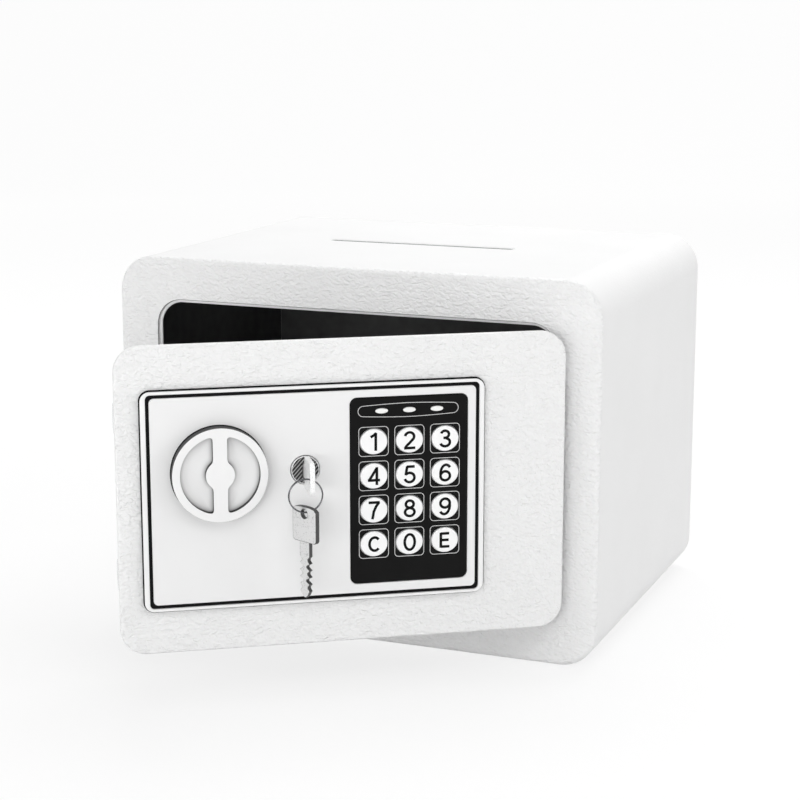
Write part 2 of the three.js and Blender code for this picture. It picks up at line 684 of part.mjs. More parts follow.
function knobCrank() {
  const hub = rodY(knob.x, knob.z, crankFront, crankBack, CRANK_HUB_RADIUS, 24);
  const tip = rodY(crankPin.x, crankPin.z, crankFront, crankBack, CRANK_TIP_RADIUS, 24);
  const bar = new THREE.BoxGeometry(2 * CRANK_TIP_RADIUS, CRANK_THICKNESS, CRANK_RADIUS);
  const web = solid(bar.translate(0, 0, CRANK_RADIUS / 2).rotateY(CRANK_REST)
    .translate(knob.x, (crankFront + crankBack) / 2, knob.z));
  const pin = rodY(crankPin.x, crankPin.z, crankBack - CRANK_THICKNESS / 2, carrierBack + PINS_BEYOND_CARRIER,
    CRANK_PIN_RADIUS, 20);
  return part('knob_crank', joined(hub, tip, web, pin), zincSteel());
}

// Bolts, carrier and chassis

function lockingBolt(name, z) {
  return part(name, boltX(boltTip, boltEnd, boltY, z, BOLT_RADIUS, BOLT_CHAMFER), brightSteel());
}

function plungerNotch(x) {
  const half = PLUNGER_RADIUS + NOTCH_CLEARANCE;
  const depth = PLUNGER_TRAVEL - PLUNGER_BELOW_CARRIER + NOTCH_SPARE_DEPTH;
  return box(x - half, x + half, carrierFront - 1, carrierBack + 1,
    carrier.bottom - 1, carrier.bottom + depth);
}

function boltCarrier() {
  const lugHalf = BOLT_RADIUS + CARRIER_LUG_REACH;
  const bar = box(carrier.left, carrier.left + CARRIER_BAR, carrierFront, carrierBack,
    boltHeights.lower - lugHalf, boltHeights.upper + lugHalf);
  const plate = box(carrier.left, carrier.right, carrierFront, carrierBack, carrier.bottom, carrier.top);
  const lugs = [boltHeights.lower, boltHeights.upper].map((z) =>
    box(carrier.left, carrier.left + CARRIER_BAR, boltY - BOLT_RADIUS, carrierBack,
      z - lugHalf, z + lugHalf));
  const slotHalf = CRANK_PIN_RADIUS + CRANK_SLOT_FIT;
  const slotTop = knob.z + CRANK_RADIUS + slotHalf;
  const crankSlot = plateY(
    oblong(crankPin.x - slotHalf, crankPin.x + slotHalf, crankPin.z - slotHalf, slotTop, 5),
    carrierFront - 1, carrierBack + 1);
  const postHalf = POST_RADIUS + SLIDING_FIT;
  const postSlot = plateY(
    oblong(post.x - postHalf, post.x + boltTravel + postHalf, post.z - postHalf, post.z + postHalf, 5),
    carrierFront - 1, carrierBack + 1);
  const notches = [plungerNotch(plunger.x), plungerNotch(plunger.x + boltTravel)];
  return part('bolt_carrier', cut(joined(bar, plate, ...lugs), crankSlot, postSlot, ...notches), zincSteel());
}

const solenoidTop = carrier.bottom - SOLENOID_BELOW_CARRIER;
const solenoidFront = plunger.y - SOLENOID_DEPTH / 2;

function lockChassis() {
  const { left, right, bottom, top } = chassis;
  const sheet = box(left, right, onDoor, onDoor + CHASSIS_SHEET, bottom, top);
  const flange = box(left, left + CHASSIS_FLANGE, onDoor, carrierFront - SLIDING_FIT, bottom, top);
  const shelfTop = solenoidTop - SOLENOID_HEIGHT / 2;
  const shelf = box(plunger.x - SOLENOID_WIDTH / 2, plunger.x + SOLENOID_WIDTH / 2, onDoor,
    solenoidFront - SEAT, shelfTop - SHELF_THICKNESS, shelfTop);
  const guide = rodY(post.x, post.z, onDoor, carrierBack + PINS_BEYOND_CARRIER, POST_RADIUS, 20);
  const boltHoles = [boltHeights.lower, boltHeights.upper].map((z) =>
    rodX(left - 1, left + CHASSIS_FLANGE + 1, boltY, z, BOLT_RADIUS + BOLT_FIT, 32));
  const shaftHole = shaftHoleAt(onDoor - 1, onDoor + CHASSIS_SHEET + 1);
  return part('lock_chassis', cut(joined(sheet, flange, shelf, guide), ...boltHoles, shaftHole), zincSteel());
}

// Solenoid

function solenoid() {
  const block = box(plunger.x - SOLENOID_WIDTH / 2, plunger.x + SOLENOID_WIDTH / 2, solenoidFront,
    solenoidFront + SOLENOID_DEPTH, solenoidTop - SOLENOID_HEIGHT, solenoidTop);
  const bore = rodZ(plunger.x, plunger.y, solenoidTop - SOLENOID_HEIGHT + SOLENOID_FLOOR, solenoidTop + 1,
    PLUNGER_RADIUS + RUNNING_FIT);
  return part('solenoid', cut(block, bore), darkPlastic());
}

function solenoidPlunger() {
  return part('solenoid_plunger',
    rodZ(plunger.x, plunger.y, plunger.top - PLUNGER_LENGTH, plunger.top, PLUNGER_RADIUS), brightSteel());
}

// Emergency lock

const neckFront = faceFront - LOCK_NECK_PROUD;
const plugBack = lockBack + PLUG_TAIL;
const keyFace = neckFront - KEY_STANDOFF;

function lockHousing() {
  const neck = rodY(lock.x, lock.z, neckFront, onDoor + 1, LOCK_NECK_RADIUS);
  const body = rodY(lock.x, lock.z, onDoor, lockBack, LOCK_BODY_RADIUS);
  const bore = rodY(lock.x, lock.z, neckFront - 1, lockBack + 1, PLUG_RADIUS + RUNNING_FIT);
  return part('lock_housing', cut(joined(neck, body), bore), zincSteel());
}

function lockPlug() {
  const plug = rodY(lock.x, lock.z, neckFront, plugBack, PLUG_RADIUS);
  const keyway = box(lock.x - BLADE_THICKNESS / 2 - BLADE_FIT, lock.x + BLADE_THICKNESS / 2 + BLADE_FIT,
    neckFront - 1, keyFace + BLADE_LENGTH + BLADE_FIT,
    lock.z - BLADE_WIDTH / 2 - BLADE_FIT, lock.z + BLADE_WIDTH / 2 + BLADE_FIT);
  return part('lock_plug', cut(plug, keyway), zincSteel());
}

function lockCam() {
  const y0 = plugBack + SEAT;
  const y1 = y0 + CAM_THICKNESS;
  const boss = rodY(lock.x, lock.z, y0, y1, CAM_RADIUS, 24);
  const tail = plateY(
    oblong(lock.x - CAM_TIP_RADIUS, lock.x + CAM_TIP_RADIUS, lock.z - CAM_REACH, lock.z + CAM_TIP_RADIUS, 6),
    y0, y1);
  return part('lock_cam', joined(boss, tail), zincSteel());
}

// How far a key's hole lies before the face of the lock that the key is in.
const bowHoleReach = SHANK_SHOWN + BOW_LENGTH - BOW_HOLE_FROM_END;

// A key in its own frame: the blade points to +Y from the lock's face at y = 0, the bow lies in the YZ plane.
function keyBody() {
  const half = BOW_WIDTH / 2;
  const crown = -SHANK_SHOWN - BOW_LENGTH + BOW_CROWN;
  const bowOutline = new THREE.Shape([
    new THREE.Vector2(-SHANK_SHOWN, -half + BOW_SHOULDER),
    new THREE.Vector2(-SHANK_SHOWN, half - BOW_SHOULDER),
    new THREE.Vector2(-SHANK_SHOWN - BOW_SHOULDER, half),
    ...arcPoints(crown, 0, BOW_CROWN, half, Math.PI / 2, 3 * Math.PI / 2, 12),
    new THREE.Vector2(-SHANK_SHOWN - BOW_SHOULDER, -half),
  ]);
  const slab = new THREE.ExtrudeGeometry(bowOutline, { depth: BOW_THICKNESS, bevelEnabled: false });
  const upright = new THREE.Matrix4().makeBasis(
    new THREE.Vector3(0, 1, 0), new THREE.Vector3(0, 0, 1), new THREE.Vector3(1, 0, 0));
  const bow = solid(slab.applyMatrix4(upright).translate(-BOW_THICKNESS / 2, 0, 0));
  const hole = rodX(-BOW_THICKNESS, BOW_THICKNESS, -bowHoleReach, 0, BOW_HOLE_RADIUS, 16);
  const blade = new THREE.Shape([
    new THREE.Vector2(-SHANK_SHOWN - 1, -BLADE_WIDTH / 2),
    ...toothedEdge(-1),
    new THREE.Vector2(BLADE_LENGTH, 0),
    ...toothedEdge(1).reverse(),
    new THREE.Vector2(-SHANK_SHOWN - 1, BLADE_WIDTH / 2),
  ]);
  const strip = new THREE.ExtrudeGeometry(blade, { depth: BLADE_THICKNESS, bevelEnabled: false });
  const bit = solid(strip.applyMatrix4(upright).translate(-BLADE_THICKNESS / 2, 0, 0));
  return joined(cut(bow, hole), bit);
}

// The cuts along one side of the blade.
function toothedEdge(side) {
  const pitch = (BLADE_LENGTH - BLADE_SHANK - BLADE_POINT) / BLADE_CUTS.length;
  return BLADE_CUTS.flatMap((depth, i) => [
    new THREE.Vector2(BLADE_SHANK + pitch * i, side * BLADE_WIDTH / 2),
    new THREE.Vector2(BLADE_SHANK + pitch * (i + 0.5), side * (BLADE_WIDTH / 2 - depth)),
  ]);
}

const bowHole = { x: lock.x, y: keyFace - bowHoleReach, z: lock.z };

function lockKey() {
  const mesh = part('lock_key', keyBody(), brightSteel());
  mesh.position.set(lock.x, keyFace, lock.z);
  return mesh;
}

// How far the ring's wire lies from the middle of a hole that it hangs in.
const hangingDrop = BOW_HOLE_RADIUS - RING_WIRE_RADIUS - HANGING_GAP;
const ringTop = { x: bowHole.x, z: bowHole.z - hangingDrop };
const ringCentre = {
  x: ringTop.x - RING_RADIUS * Math.sin(RING_LEAN),
  y: bowHole.y,
  z: ringTop.z - RING_RADIUS * Math.cos(RING_LEAN),
};

function keyRing() {
  const torus = new THREE.TorusGeometry(RING_RADIUS, RING_WIRE_RADIUS, 8, 32).rotateX(Math.PI / 2);
  const mesh = part('key_ring', solid(torus), brightSteel());
  mesh.position.set(ringCentre.x, ringCentre.y, ringCentre.z);
  return mesh;
}

function spareKey() {
  const mesh = part('spare_key', keyBody(), brightSteel());
  const hanging = new THREE.Group();
  const bladeDown = new THREE.Group();
  mesh.position.set(0, bowHoleReach, 0);
  bladeDown.rotation.x = -Math.PI / 2;
  hanging.rotation.z = SPARE_TURN;
  hanging.position.set(ringCentre.x, ringCentre.y, ringCentre.z - RING_RADIUS - hangingDrop);
  bladeDown.add(mesh);
  hanging.add(bladeDown);
  return hanging;
}

// Inner cover and batteries

function coverOutline(inset, radius) {
  return roundedRect(cover.left + inset, cover.right - inset, cover.bottom + inset, cover.top - inset,
    radius, 5);
}

// The tabs that the cover is screwed on by, above and below it.
function coverEar({ x, z }) {
  const inward = z < openingMiddle ? 1 : -1;
  const outer = z - inward * (EAR_SIZE / 2 - EAR_INSET);
  const inner = z + inward * (EAR_SIZE / 2 + COVER_WALL / 2);
  return box(x - EAR_SIZE / 2, x + EAR_SIZE / 2, onDoor, onDoor + EAR_SHEET,
    Math.min(outer, inner), Math.max(outer, inner));
}

function innerCover() {
  const outer = plateY(coverOutline(0, COVER_RADIUS), onDoor, coverBack);
  const inner = plateY(coverOutline(COVER_WALL, COVER_RADIUS - COVER_WALL), onDoor - 1, coverInside);
  const screwHoles = screwPlaces.map(({ x, z }) =>
    rodY(x, z, onDoor - 1, onDoor + EAR_SHEET + 1, SCREW_RADIUS + SLIDING_FIT, 12));
  const boltHoles = [boltHeights.lower, boltHeights.upper].map((z) =>
    rodX(cover.left - 1, cover.left + COVER_WALL + 1, boltY, z, BOLT_RADIUS + COVER_BOLT_CLEARANCE, 32));
  const chassisGap = box(cover.left - 1, cover.left + COVER_WALL + 1, onDoor - 1,
    onDoor + CHASSIS_SHEET + SLIDING_FIT, chassis.bottom - SLIDING_FIT, chassis.top + SLIDING_FIT);
  const window = box(tray.left, tray.right, coverInside - 1, coverBack + 1,
    tray.z - tray.halfHeight, tray.z + tray.halfHeight);
  const resetHole = rodY(reset.x, reset.z, coverInside - 1, coverBack + 1, RESET_RADIUS + SLIDING_FIT, 24);
  const shell = cut(joined(cut(outer, inner), ...screwPlaces.map(coverEar)),
    ...screwHoles, ...boltHoles, chassisGap, window, resetHole);
  return part('inner_cover', joined(shell, ...lidRails()), darkPlastic());
}

const lidHalfHeight = tray.halfHeight + LID_OVERLAP;
const lidBack = coverBack + SEAT + LID_THICKNESS;

// Two rails with inward lips, in which the battery lid slides.
function lidRails() {
  const z0 = tray.z - lidHalfHeight;
  const z1 = tray.z + lidHalfHeight;
  const lipBack = lidBack + SLIDING_FIT + RAIL_THICKNESS;
  return [
    { edge: tray.left - LID_OVERLAP - SLIDING_FIT, side: -1 },
    { edge: tray.right + LID_OVERLAP + SLIDING_FIT, side: 1 },
  ].flatMap(({ edge, side }) => {
    const outside = edge + side * RAIL_THICKNESS;
    const lip = edge - side * RAIL_LIP;
    return [
      box(Math.min(edge, outside), Math.max(edge, outside), coverBack - COVER_WALL / 2, lipBack, z0, z1),
      box(Math.min(outside, lip), Math.max(outside, lip), lipBack - RAIL_THICKNESS, lipBack, z0, z1),
    ];
  });
}

function batteryLid() {
  const plate = box(tray.left - LID_OVERLAP, tray.right + LID_OVERLAP, coverBack + SEAT, lidBack,
    tray.z - lidHalfHeight, tray.z + lidHalfHeight);
  const gripX = (tray.left + tray.right) / 2;
  const gripTop = tray.z + lidHalfHeight - LID_GRIP_FROM_TOP;
  const grip = box(gripX - LID_GRIP_LENGTH / 2, gripX + LID_GRIP_LENGTH / 2, lidBack - LID_THICKNESS / 2,
    lidBack + LID_GRIP_PROUD, gripTop - LID_GRIP_HEIGHT, gripTop);
  return part('battery_lid', joined(plate, grip), darkPlastic());
}

function batteryTray() {
  const x0 = tray.left + SEAT;
  const x1 = tray.right - SEAT;
  const z0 = tray.z - tray.halfHeight + SEAT;
  const z1 = tray.z + tray.halfHeight - SEAT;
  const outer = box(x0 - TRAY_WALL, x1 + TRAY_WALL, trayFloor - TRAY_WALL, coverInside - SEAT,
    z0 - TRAY_WALL, z1 + TRAY_WALL);
  const hollow = box(x0, x1, trayFloor, coverBack, z0, z1);
  return part('battery_tray', cut(outer, hollow), darkPlastic());
}

function batteryContact(name, side) {
  const edge = tray.z + side * (tray.halfHeight - 2 * SEAT);
  const inner = edge - side * CONTACT_THICKNESS;
  const plate = box(tray.left + 2 * SEAT, tray.right - 2 * SEAT, trayFloor + SEAT, coverInside - COVER_WALL,
    Math.min(edge, inner), Math.max(edge, inner));
  return part(name, plate, brightSteel());
}

function battery(index) {
  const x = tray.left + CELL_FIT + CELL_PITCH * (index + 0.5);
  const nubUp = index % 2 === 0;
  const low = tray.z - CELL_LENGTH / 2;
  const high = tray.z + CELL_LENGTH / 2;
  const canLow = nubUp ? low : low + CELL_SHOULDER;
  const can = rodZ(x, cellY, canLow, canLow + CELL_LENGTH - CELL_SHOULDER, CELL_RADIUS, 20);
  const nub = rodZ(x, cellY, nubUp ? tray.z : low, nubUp ? high : tray.z, CELL_NUB_RADIUS, 12);
  return part(`battery_${index + 1}`, joined(can, nub), cellWrap());
}

function coverScrew({ x, z }, index) {
  const seat = onDoor + EAR_SHEET + SEAT;
  const shank = rodY(x, z, doorBack - SCREW_DEPTH, seat + SCREW_HEAD_HEIGHT / 2, SCREW_RADIUS, 12);
  const head = rodY(x, z, seat, seat + SCREW_HEAD_HEIGHT, SCREW_HEAD_RADIUS, 16);
  return part(`cover_screw_${index + 1}`, joined(shank, head), zincSteel());
}

function resetButton() {
  const flangeBack = coverInside - SEAT;
  const flangeFront = flangeBack - RESET_FLANGE_THICKNESS;
  const stem = rodY(reset.x, reset.z, flangeFront, coverBack + RESET_PROUD, RESET_RADIUS, 24);
  const flange = rodY(reset.x, reset.z, flangeFront, flangeBack, RESET_FLANGE_RADIUS, 24);
  return part('reset_button', joined(stem, flange), resetRed());
}

// Assembly

function closedDoor() {
  const door = new THREE.Group();
  door.add(doorPlate(), panelTray(), bezelRing(), facePanel());
  door.add(keypadPlate(), ledLens(), keypadBoard(), ...keyPlaces.map(pushKey));
  door.add(turnKnob(), knobShaft(), knobCrank());
  door.add(lockChassis(), boltCarrier(), solenoid(), solenoidPlunger());
  door.add(lockingBolt('bolt_upper', boltHeights.upper), lockingBolt('bolt_lower', boltHeights.lower));
  door.add(lockHousing(), lockPlug(), lockCam(), lockKey(), keyRing(), spareKey());
  door.add(innerCover(), ...screwPlaces.map(coverScrew), resetButton());
  door.add(batteryTray(), ...Array.from({ length: CELL_COUNT }, (_, i) => battery(i)), batteryLid());
  door.add(batteryContact('battery_contact_upper', 1), batteryContact('battery_contact_lower', -1));
  door.add(hingeArm('hinge_arm_top', hingeHeights.top), hingeArm('hinge_arm_bottom', hingeHeights.bottom));
  return door;
}

function swungOpen(door) {
  const swing = new THREE.Group();
  swing.position.set(pivot.x, pivot.y, 0);
  swing.rotation.z = DOOR_OPEN;
  door.position.set(-pivot.x, -pivot.y, 0);
  swing.add(door);
  return swing;
}

const safe = new THREE.Group();
safe.add(bodyShell(), frontFrame(), backPlate());
for (const [end, z] of Object.entries(hingeHeights)) {
  safe.add(hingeBracket(`hinge_bracket_${end}`, z), hingePin(`hinge_pin_${end}`, z));
}
safe.add(swungOpen(closedDoor()));

export default safe;
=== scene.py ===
import math

import bmesh
import bpy
from mathutils import Matrix, Vector
from mathutils.geometry import tessellate_polygon


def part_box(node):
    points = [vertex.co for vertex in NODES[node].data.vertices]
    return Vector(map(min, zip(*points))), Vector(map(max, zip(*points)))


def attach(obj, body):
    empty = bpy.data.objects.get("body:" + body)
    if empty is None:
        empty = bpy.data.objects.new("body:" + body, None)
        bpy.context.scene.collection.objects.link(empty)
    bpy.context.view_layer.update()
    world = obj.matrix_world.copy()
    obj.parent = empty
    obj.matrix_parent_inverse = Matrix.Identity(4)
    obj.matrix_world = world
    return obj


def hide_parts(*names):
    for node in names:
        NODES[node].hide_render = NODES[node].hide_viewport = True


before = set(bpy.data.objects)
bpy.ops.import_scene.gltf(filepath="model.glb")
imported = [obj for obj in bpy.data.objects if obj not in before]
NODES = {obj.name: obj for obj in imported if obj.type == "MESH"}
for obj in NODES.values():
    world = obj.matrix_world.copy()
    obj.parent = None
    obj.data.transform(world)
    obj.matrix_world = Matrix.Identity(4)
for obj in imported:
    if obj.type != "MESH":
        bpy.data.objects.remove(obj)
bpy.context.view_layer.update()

# The looks of a mini safe whose door stands open. Lengths are in millimetres, and meshes in metres.
# Bounds are (left, right, low, high). Rounds are the radii of an edge at the front and at the back.

MM = 0.001

# Case
WIDTH, HEIGHT, DEPTH = 230.0, 170.0, 170.0
CASE = (-WIDTH / 2, WIDTH / 2, 0, HEIGHT)
CASE_RADIUS = 16.5
CASE_BACK_ROUND, CASE_BACK_ROUND_INSIDE = 0.7, 0.25
WALL = 1.5
SEAT = 0.25
FRONT, BACK = -DEPTH / 2, DEPTH / 2
FRAME_BACK = FRONT + 2.5
OPENING = (-95.5, 95.5, 19.75, 150.75)
OPENING_RADIUS = 12.0
CORNER_ROUND, EDGE_ROUND = 2.3, 0.6
# The rows of the opening's front edge round that are painted dark grey, as a painted shade line along the
# opening
EDGE_SHADE_ROWS = (3, 6)
LIP_FRONT, LIP_BACK = -83.3, -82.6
LIP_REACH, LIP_SUNK, LIP_SOFT = 1.2, 0.1, 0.15
SLOT = (-47.0, 47.0, -1.2, 3.2)
SLOT_SOFT, SLOT_DEEP = 0.45, 4.0
ANCHOR_X, ANCHOR_Y, ANCHOR_RADIUS = 50.0, 20.0, 5.0
BACK_ROUNDS = (0.1, 0.35)

# Door, closed; it is turned open about its pins afterwards
OPEN = math.radians(34)
PIVOT = Vector((106.25, -77.0, 0.0))
DOOR = (-94.25, 94.25, 20.65, 149.85)
DOOR_RADIUS = 11.0
DOOR_FRONT, DOOR_BACK = -86.5, -83.5
DOOR_ROUNDS, BORE_ROUNDS = (1.0, 0.5), (0.1, 0.1)

# Panel, knob and lock on the door
PANEL = (-84.65, 58.85, 38.95, 131.95)
PANEL_RADIUS = 4.5
PANEL_SEAT = -88.25
TRAY_FRONT, TRAY_BACK = -88.2, -86.75
TRAY_ROUNDS, WELL_ROUNDS = (0.35, 0.2), (0.05, 0.2)
WELL = (2.95, 49.65, 47.75, 123.95)
WELL_WALL, WELL_CORNER, WELL_RADIUS, WELL_SUNK = 1.0, 0.3, 0.6, 0.2
REVEAL, GROOVE = 0.5, 1.5
BEZEL_FRONT, BEZEL_WIDTHS, BEZEL_RADIUS = -89.35, (2.1, 1.25), 4.0
FACE_FRONT, FACE_RADIUS = -89.15, 2.0
SEATED_ROUNDS = (0.4, 0.05)
KNOB, SHAFT_HOLE = (-52.85, 97.05), 4.6
KNOB_FRONT, KNOB_BACK = -94.6, -89.4
KNOB_RADIUS, HUB_RADIUS, GRIP_HALF = 19.6, 6.0, 2.93
# KNOB_EDGE_ROWS is how many rows of the rim's round stay light before the side wall's painted shade begins
KNOB_ROUNDS, KNOB_EDGE_ROWS = (0.35, 0.3), 3
POCKET_RADIUS, POCKET_DEPTH, POCKET_WALL, POCKET_EDGE = 16.4, 4.45, 2.9, 0.2
POCKET_REACH = (POCKET_RADIUS - HUB_RADIUS) / 2
POCKET_CURVE, POCKET_SOFTENINGS = 2.4, 10
# The width of the dark ring painted on the panel round the knob as its shadow gap
SHADOW_RING_WIDTH = 0.45
LOCK, LOCK_HOLE = (-17.35, 96.4), 6.2
NECK_FRONT, NECK_BACK, NECK_RADIUS = -89.6, -83.0, 5.9
BARREL_FRONT, BARREL_BACK, BARREL_RADIUS = -83.25, -68.25, 8.0
LOCK_BORE, PLUG_RADIUS, PLUG_BACK = 5.09, 5.0, -67.25
HEAD_FRONT, HEAD_BACK, HEAD_RADIUS = NECK_FRONT - 0.2, NECK_FRONT - 0.02, 5.5
KEYWAY_HALF = (1.2, 3.3)
RIB_RISE, RIB_PITCH = math.radians(48), 1.2

# Keypad
KEYPAD = (1.55, 51.05, 46.35, 125.35)
KEYPAD_RADIUS, KEYPAD_FRONT = 2.8, -89.55
KEY_ROWS = (("1", "2", "3"), ("4", "5", "6"), ("7", "8", "9"), ("c", "0", "e"))
KEY_X, KEY_PITCH_X = 26.3, 15.1
KEY_Z, KEY_PITCH_Z = 85.15, 14.55
KEY_HALF, KEY_GAP = (5.7, 5.35), 0.3
CAP_FRONT, CAP_BACK, CAP_ROUNDS = -90.3, -87.2, (0.5, 0.0)
FLANGE_HALF, FLANGE_THICK = 6.4, 0.8
LIGHTS_Z, LIGHTS_PITCH = 119.7, 11.65
LIGHT_HALF, LIGHT_GAP, LIGHT_PROUD = (2.7, 1.1), 0.125, 0.2
LENS_BAR, LENS_BAR_HALF, LENS_BAR_THICK = -88.0, (15.35, 1.6), 0.8

# Prints on the keypad and its keys. A form is a sign's height and its stretch across
CELL_HALF, CELL_RADIUS = (6.2, 6.15), 1.6
LINE_WIDTH, LINE_RISE = 0.25, 0.02
LIGHTS_FRAME_X, LIGHTS_FRAME_Z = KEY_X - 0.45, LIGHTS_Z + 0.1
LIGHTS_FRAME_HALF, LIGHTS_FRAME_END, LIGHTS_FRAME_BULGE = 21.15, 2.2, 0.72
SIGN_STROKE, SIGN_RISE, SIGN_SUNK = 1.14, 0.03, 0.005
DIGIT_WIDTH = 0.64
SIGN_WIDTHS = {"c": 0.76, "e": 0.72, "1": 0.62}
DIGIT_FORM, LETTER_FORM = (7.6, 1.1), (6.5, 1.0)

# Keys, their ring and the bolts
KEY_FACE = -90.0
SHANK_SHOWN = 2.9
BOW_LENGTH, BOW_WIDTH, BOW_THICK = 15.0, 13.6, 2.0
BOW_CROWN, BOW_SHOULDER, BOW_CORNER = 1.2, 1.5, 0.9
BLADE_LENGTH, BLADE_WIDTH, BLADE_THICK = 20.5, 5.6, 1.8
BLADE_ROOT, BLADE_PLAIN, BLADE_TIP = 0.6, 3.0, 1.1
BLADE_CUTS = (1.0, 1.7, 1.2, 1.9, 1.0)
HOLE_FROM_END, HOLE_RADIUS = 3.2, 1.8
HOLE_REACH = SHANK_SHOWN + BOW_LENGTH - HOLE_FROM_END
HOLE_Y = KEY_FACE - HOLE_REACH
RING_RADIUS, RING_WIRE, RING_DROP = 6.9, 0.3, 0.5
RING_TURNS, RING_STEPS, RING_RISE = 2, 150, 0.33
RING_LEAN = math.radians(21)
RING_CENTRE = (
    LOCK[0] - RING_RADIUS * math.sin(RING_LEAN),
    LOCK[1] - RING_DROP - RING_RADIUS * math.cos(RING_LEAN),
)
SPARE_TURN = math.radians(35)
BOLT_TIP, BOLT_TAIL, BOLT_Y, BOLT_RADIUS = -93.9, -66.3, -75.0, 7.0
BOLT_ROUNDS = (1.0, 0.6)
BOLT_HEIGHTS = {"bolt_upper": 118.25, "bolt_lower": 52.25}

# Edges of the CAD nodes that keep their shape
SOFT_EDGE = 0.18
SOFT_EDGES = {
    "inner_cover": 0.5,
    "battery_lid": 0.4,
    "hinge_arm_top": 0.4,
    "hinge_arm_bottom": 0.4,
    "reset_button": 0.3,
}
WELD_REACH = 0.002
SMOOTH_ANGLE, BEVEL_ANGLE = math.radians(30), math.radians(50)

# Stage, lamps and camera: places in metres, power in watts, angles in degrees, the lens in millimetres
FLOOR_HALF, FLOOR_BACK, FLOOR_Z = 4.0, 1.6, -0.0002
SWEEP_BEND, SWEEP_HEIGHT = 1.2, 3.0
BOUNCE_TONE, SEEN_TONE = 0.76, 0.21
NEAR_GLOW, FAR_GLOW = 0.785, 0.9
GLOW_START, GLOW_END = 0.3, 1.8
ROOM_LIGHT = 0.3
LAMPS = (
    ("overhead", (0.0, 0.55, 1.15), (0, 0, 0.17), (1.2, 0.7), 10.8),
    ("right_side", (1.5, 0.1, 0.6), (0, 0, 0.09), (1.0, 1.0), 6.4),
    ("left_front", (-1.2, -1.2, 0.6), (0, 0, 0.09), (1.0, 1.0), 6.9),
    ("front_high", (0.3, -0.6, 0.6), (0, -0.1, 0.1), (0.5, 0.35), 0.9),
    ("front_low", (0.2, -1.5, 0.25), (0, 0, 0.09), (1.4, 0.4), 7.3),
)
CAMERA_PLACE = (0.33832, -0.86801, 0.29056)
CAMERA_LENS, CAMERA_SENSOR = 88.43, 36.0
CAMERA_DIP, CAMERA_TURN = 11.90, 21.88

CLOSED = Matrix.Identity(4)
SWUNG = Matrix.Translation(PIVOT) @ Matrix.Rotation(OPEN, 4, "Z") @ Matrix.Translation(-PIVOT)


# Materials

class Shader:
    """A node material: a principled shader with helpers for the nodes that feed it."""

    def __init__(self, name):
        self.material = bpy.data.materials.new(name)
        self.material.use_nodes = True
        self.tree = self.material.node_tree
        self.tree.nodes.clear()
        self.output = self.node("ShaderNodeOutputMaterial")
        self.surface = self.node("ShaderNodeBsdfPrincipled")
        self.link(self.surface.outputs[0], self.output.inputs["Surface"])
        self.place = self.node("ShaderNodeTexCoord").outputs["Object"]

    def node(self, kind, values=None, **settings):
        """A new node with its settings, and with values for some of its inputs."""
        made = self.tree.nodes.new(kind)
        for key, value in settings.items():
            setattr(made, key, value)
        for key, value in (values or {}).items():
            made.inputs[key].default_value = value
        return made

    def link(self, out, into):
        self.tree.links.new(out, into)

    def set(self, **values):
        for key, value in values.items():
            self.surface.inputs[key.replace("_", " ")].default_value = value

    def stretched(self, scale):
        mapping = self.node("ShaderNodeMapping", {"Scale": scale})
        self.link(self.place, mapping.inputs["Vector"])
        return mapping.outputs[0]

    def noise(self, scale, detail=3.0, roughness=0.55, distortion=0.0, place=None):
        values = {"Scale": scale, "Detail": detail, "Roughness": roughness, "Distortion": distortion}
        made = self.node("ShaderNodeTexNoise", values)
        self.link(place or self.place, made.inputs["Vector"])
        return made.outputs["Fac"]

    def cells(self, scale):
        made = self.node("ShaderNodeTexVoronoi", {"Scale": scale}, feature="F1")
        self.link(self.place, made.inputs["Vector"])
        return made.outputs["Distance"]

    def ramp(self, value, *stops):
        made = self.node("ShaderNodeValToRGB")
        line = made.color_ramp
        while len(line.elements) < len(stops):
            line.elements.new(0.5)
        for element, (place, colour) in zip(line.elements, stops):
            element.position = place
            element.color = (*colour, 1) if isinstance(colour, tuple) else (colour, colour, colour, 1)
        self.link(value, made.inputs["Fac"])
        return made.outputs["Color"]

    def range(self, value, low, high, start=0.0, end=1.0):
        values = {"From Min": start, "From Max": end, "To Min": low, "To Max": high}
        made = self.node("ShaderNodeMapRange", values)
        self.link(value, made.inputs["Value"])
        return made.outputs["Result"]

    def mixed(self, first, second, share):
        """The first value's share added to the second."""
        made = self.node("ShaderNodeMath", {1: share}, operation="MULTIPLY_ADD")
        self.link(first, made.inputs[0])
        self.link(second, made.inputs[2])
        return made.outputs[0]

    def along(self, direction):
        """How far a point of the object lies along a direction, in metres."""
        made = self.node("ShaderNodeVectorMath", {1: direction}, operation="DOT_PRODUCT")
        self.link(self.place, made.inputs[0])
        return made.outputs["Value"]

    def waves(self, value, length):
        """A sine between 0 and 1 that repeats at every length."""
        times = self.node("ShaderNodeMath", {1: 2 * math.pi / length}, operation="MULTIPLY")
        self.link(value, times.inputs[0])
        sine = self.node("ShaderNodeMath", operation="SINE")
        self.link(times.outputs[0], sine.inputs[0])
        return self.range(sine.outputs[0], 0.0, 1.0, -1.0, 1.0)

    def colour(self, source):
        self.link(source, self.surface.inputs["Base Color"])

    def roughness(self, source):
        self.link(source, self.surface.inputs["Roughness"])

    def bump(self, height, depth, strength=1.0):
        made = self.node("ShaderNodeBump", {"Strength": strength, "Distance": depth})
        self.link(height, made.inputs["Height"])
        self.link(made.outputs["Normal"], self.surface.inputs["Normal"])

    def mottle(self, scale, low, high, detail=3):
        """A base colour that wavers between two tones."""
        self.colour(self.ramp(self.noise(scale, detail), (0.3, low), (0.7, high)))

    def wear(self, scale, low, high, detail=3):
        """A roughness that wavers between two values."""
        self.roughness(self.range(self.noise(scale, detail), low, high))

    def grain(self, scale, depth, strength, detail=2):
        """A fine uneven relief."""
        self.bump(self.noise(scale, detail), depth, strength)


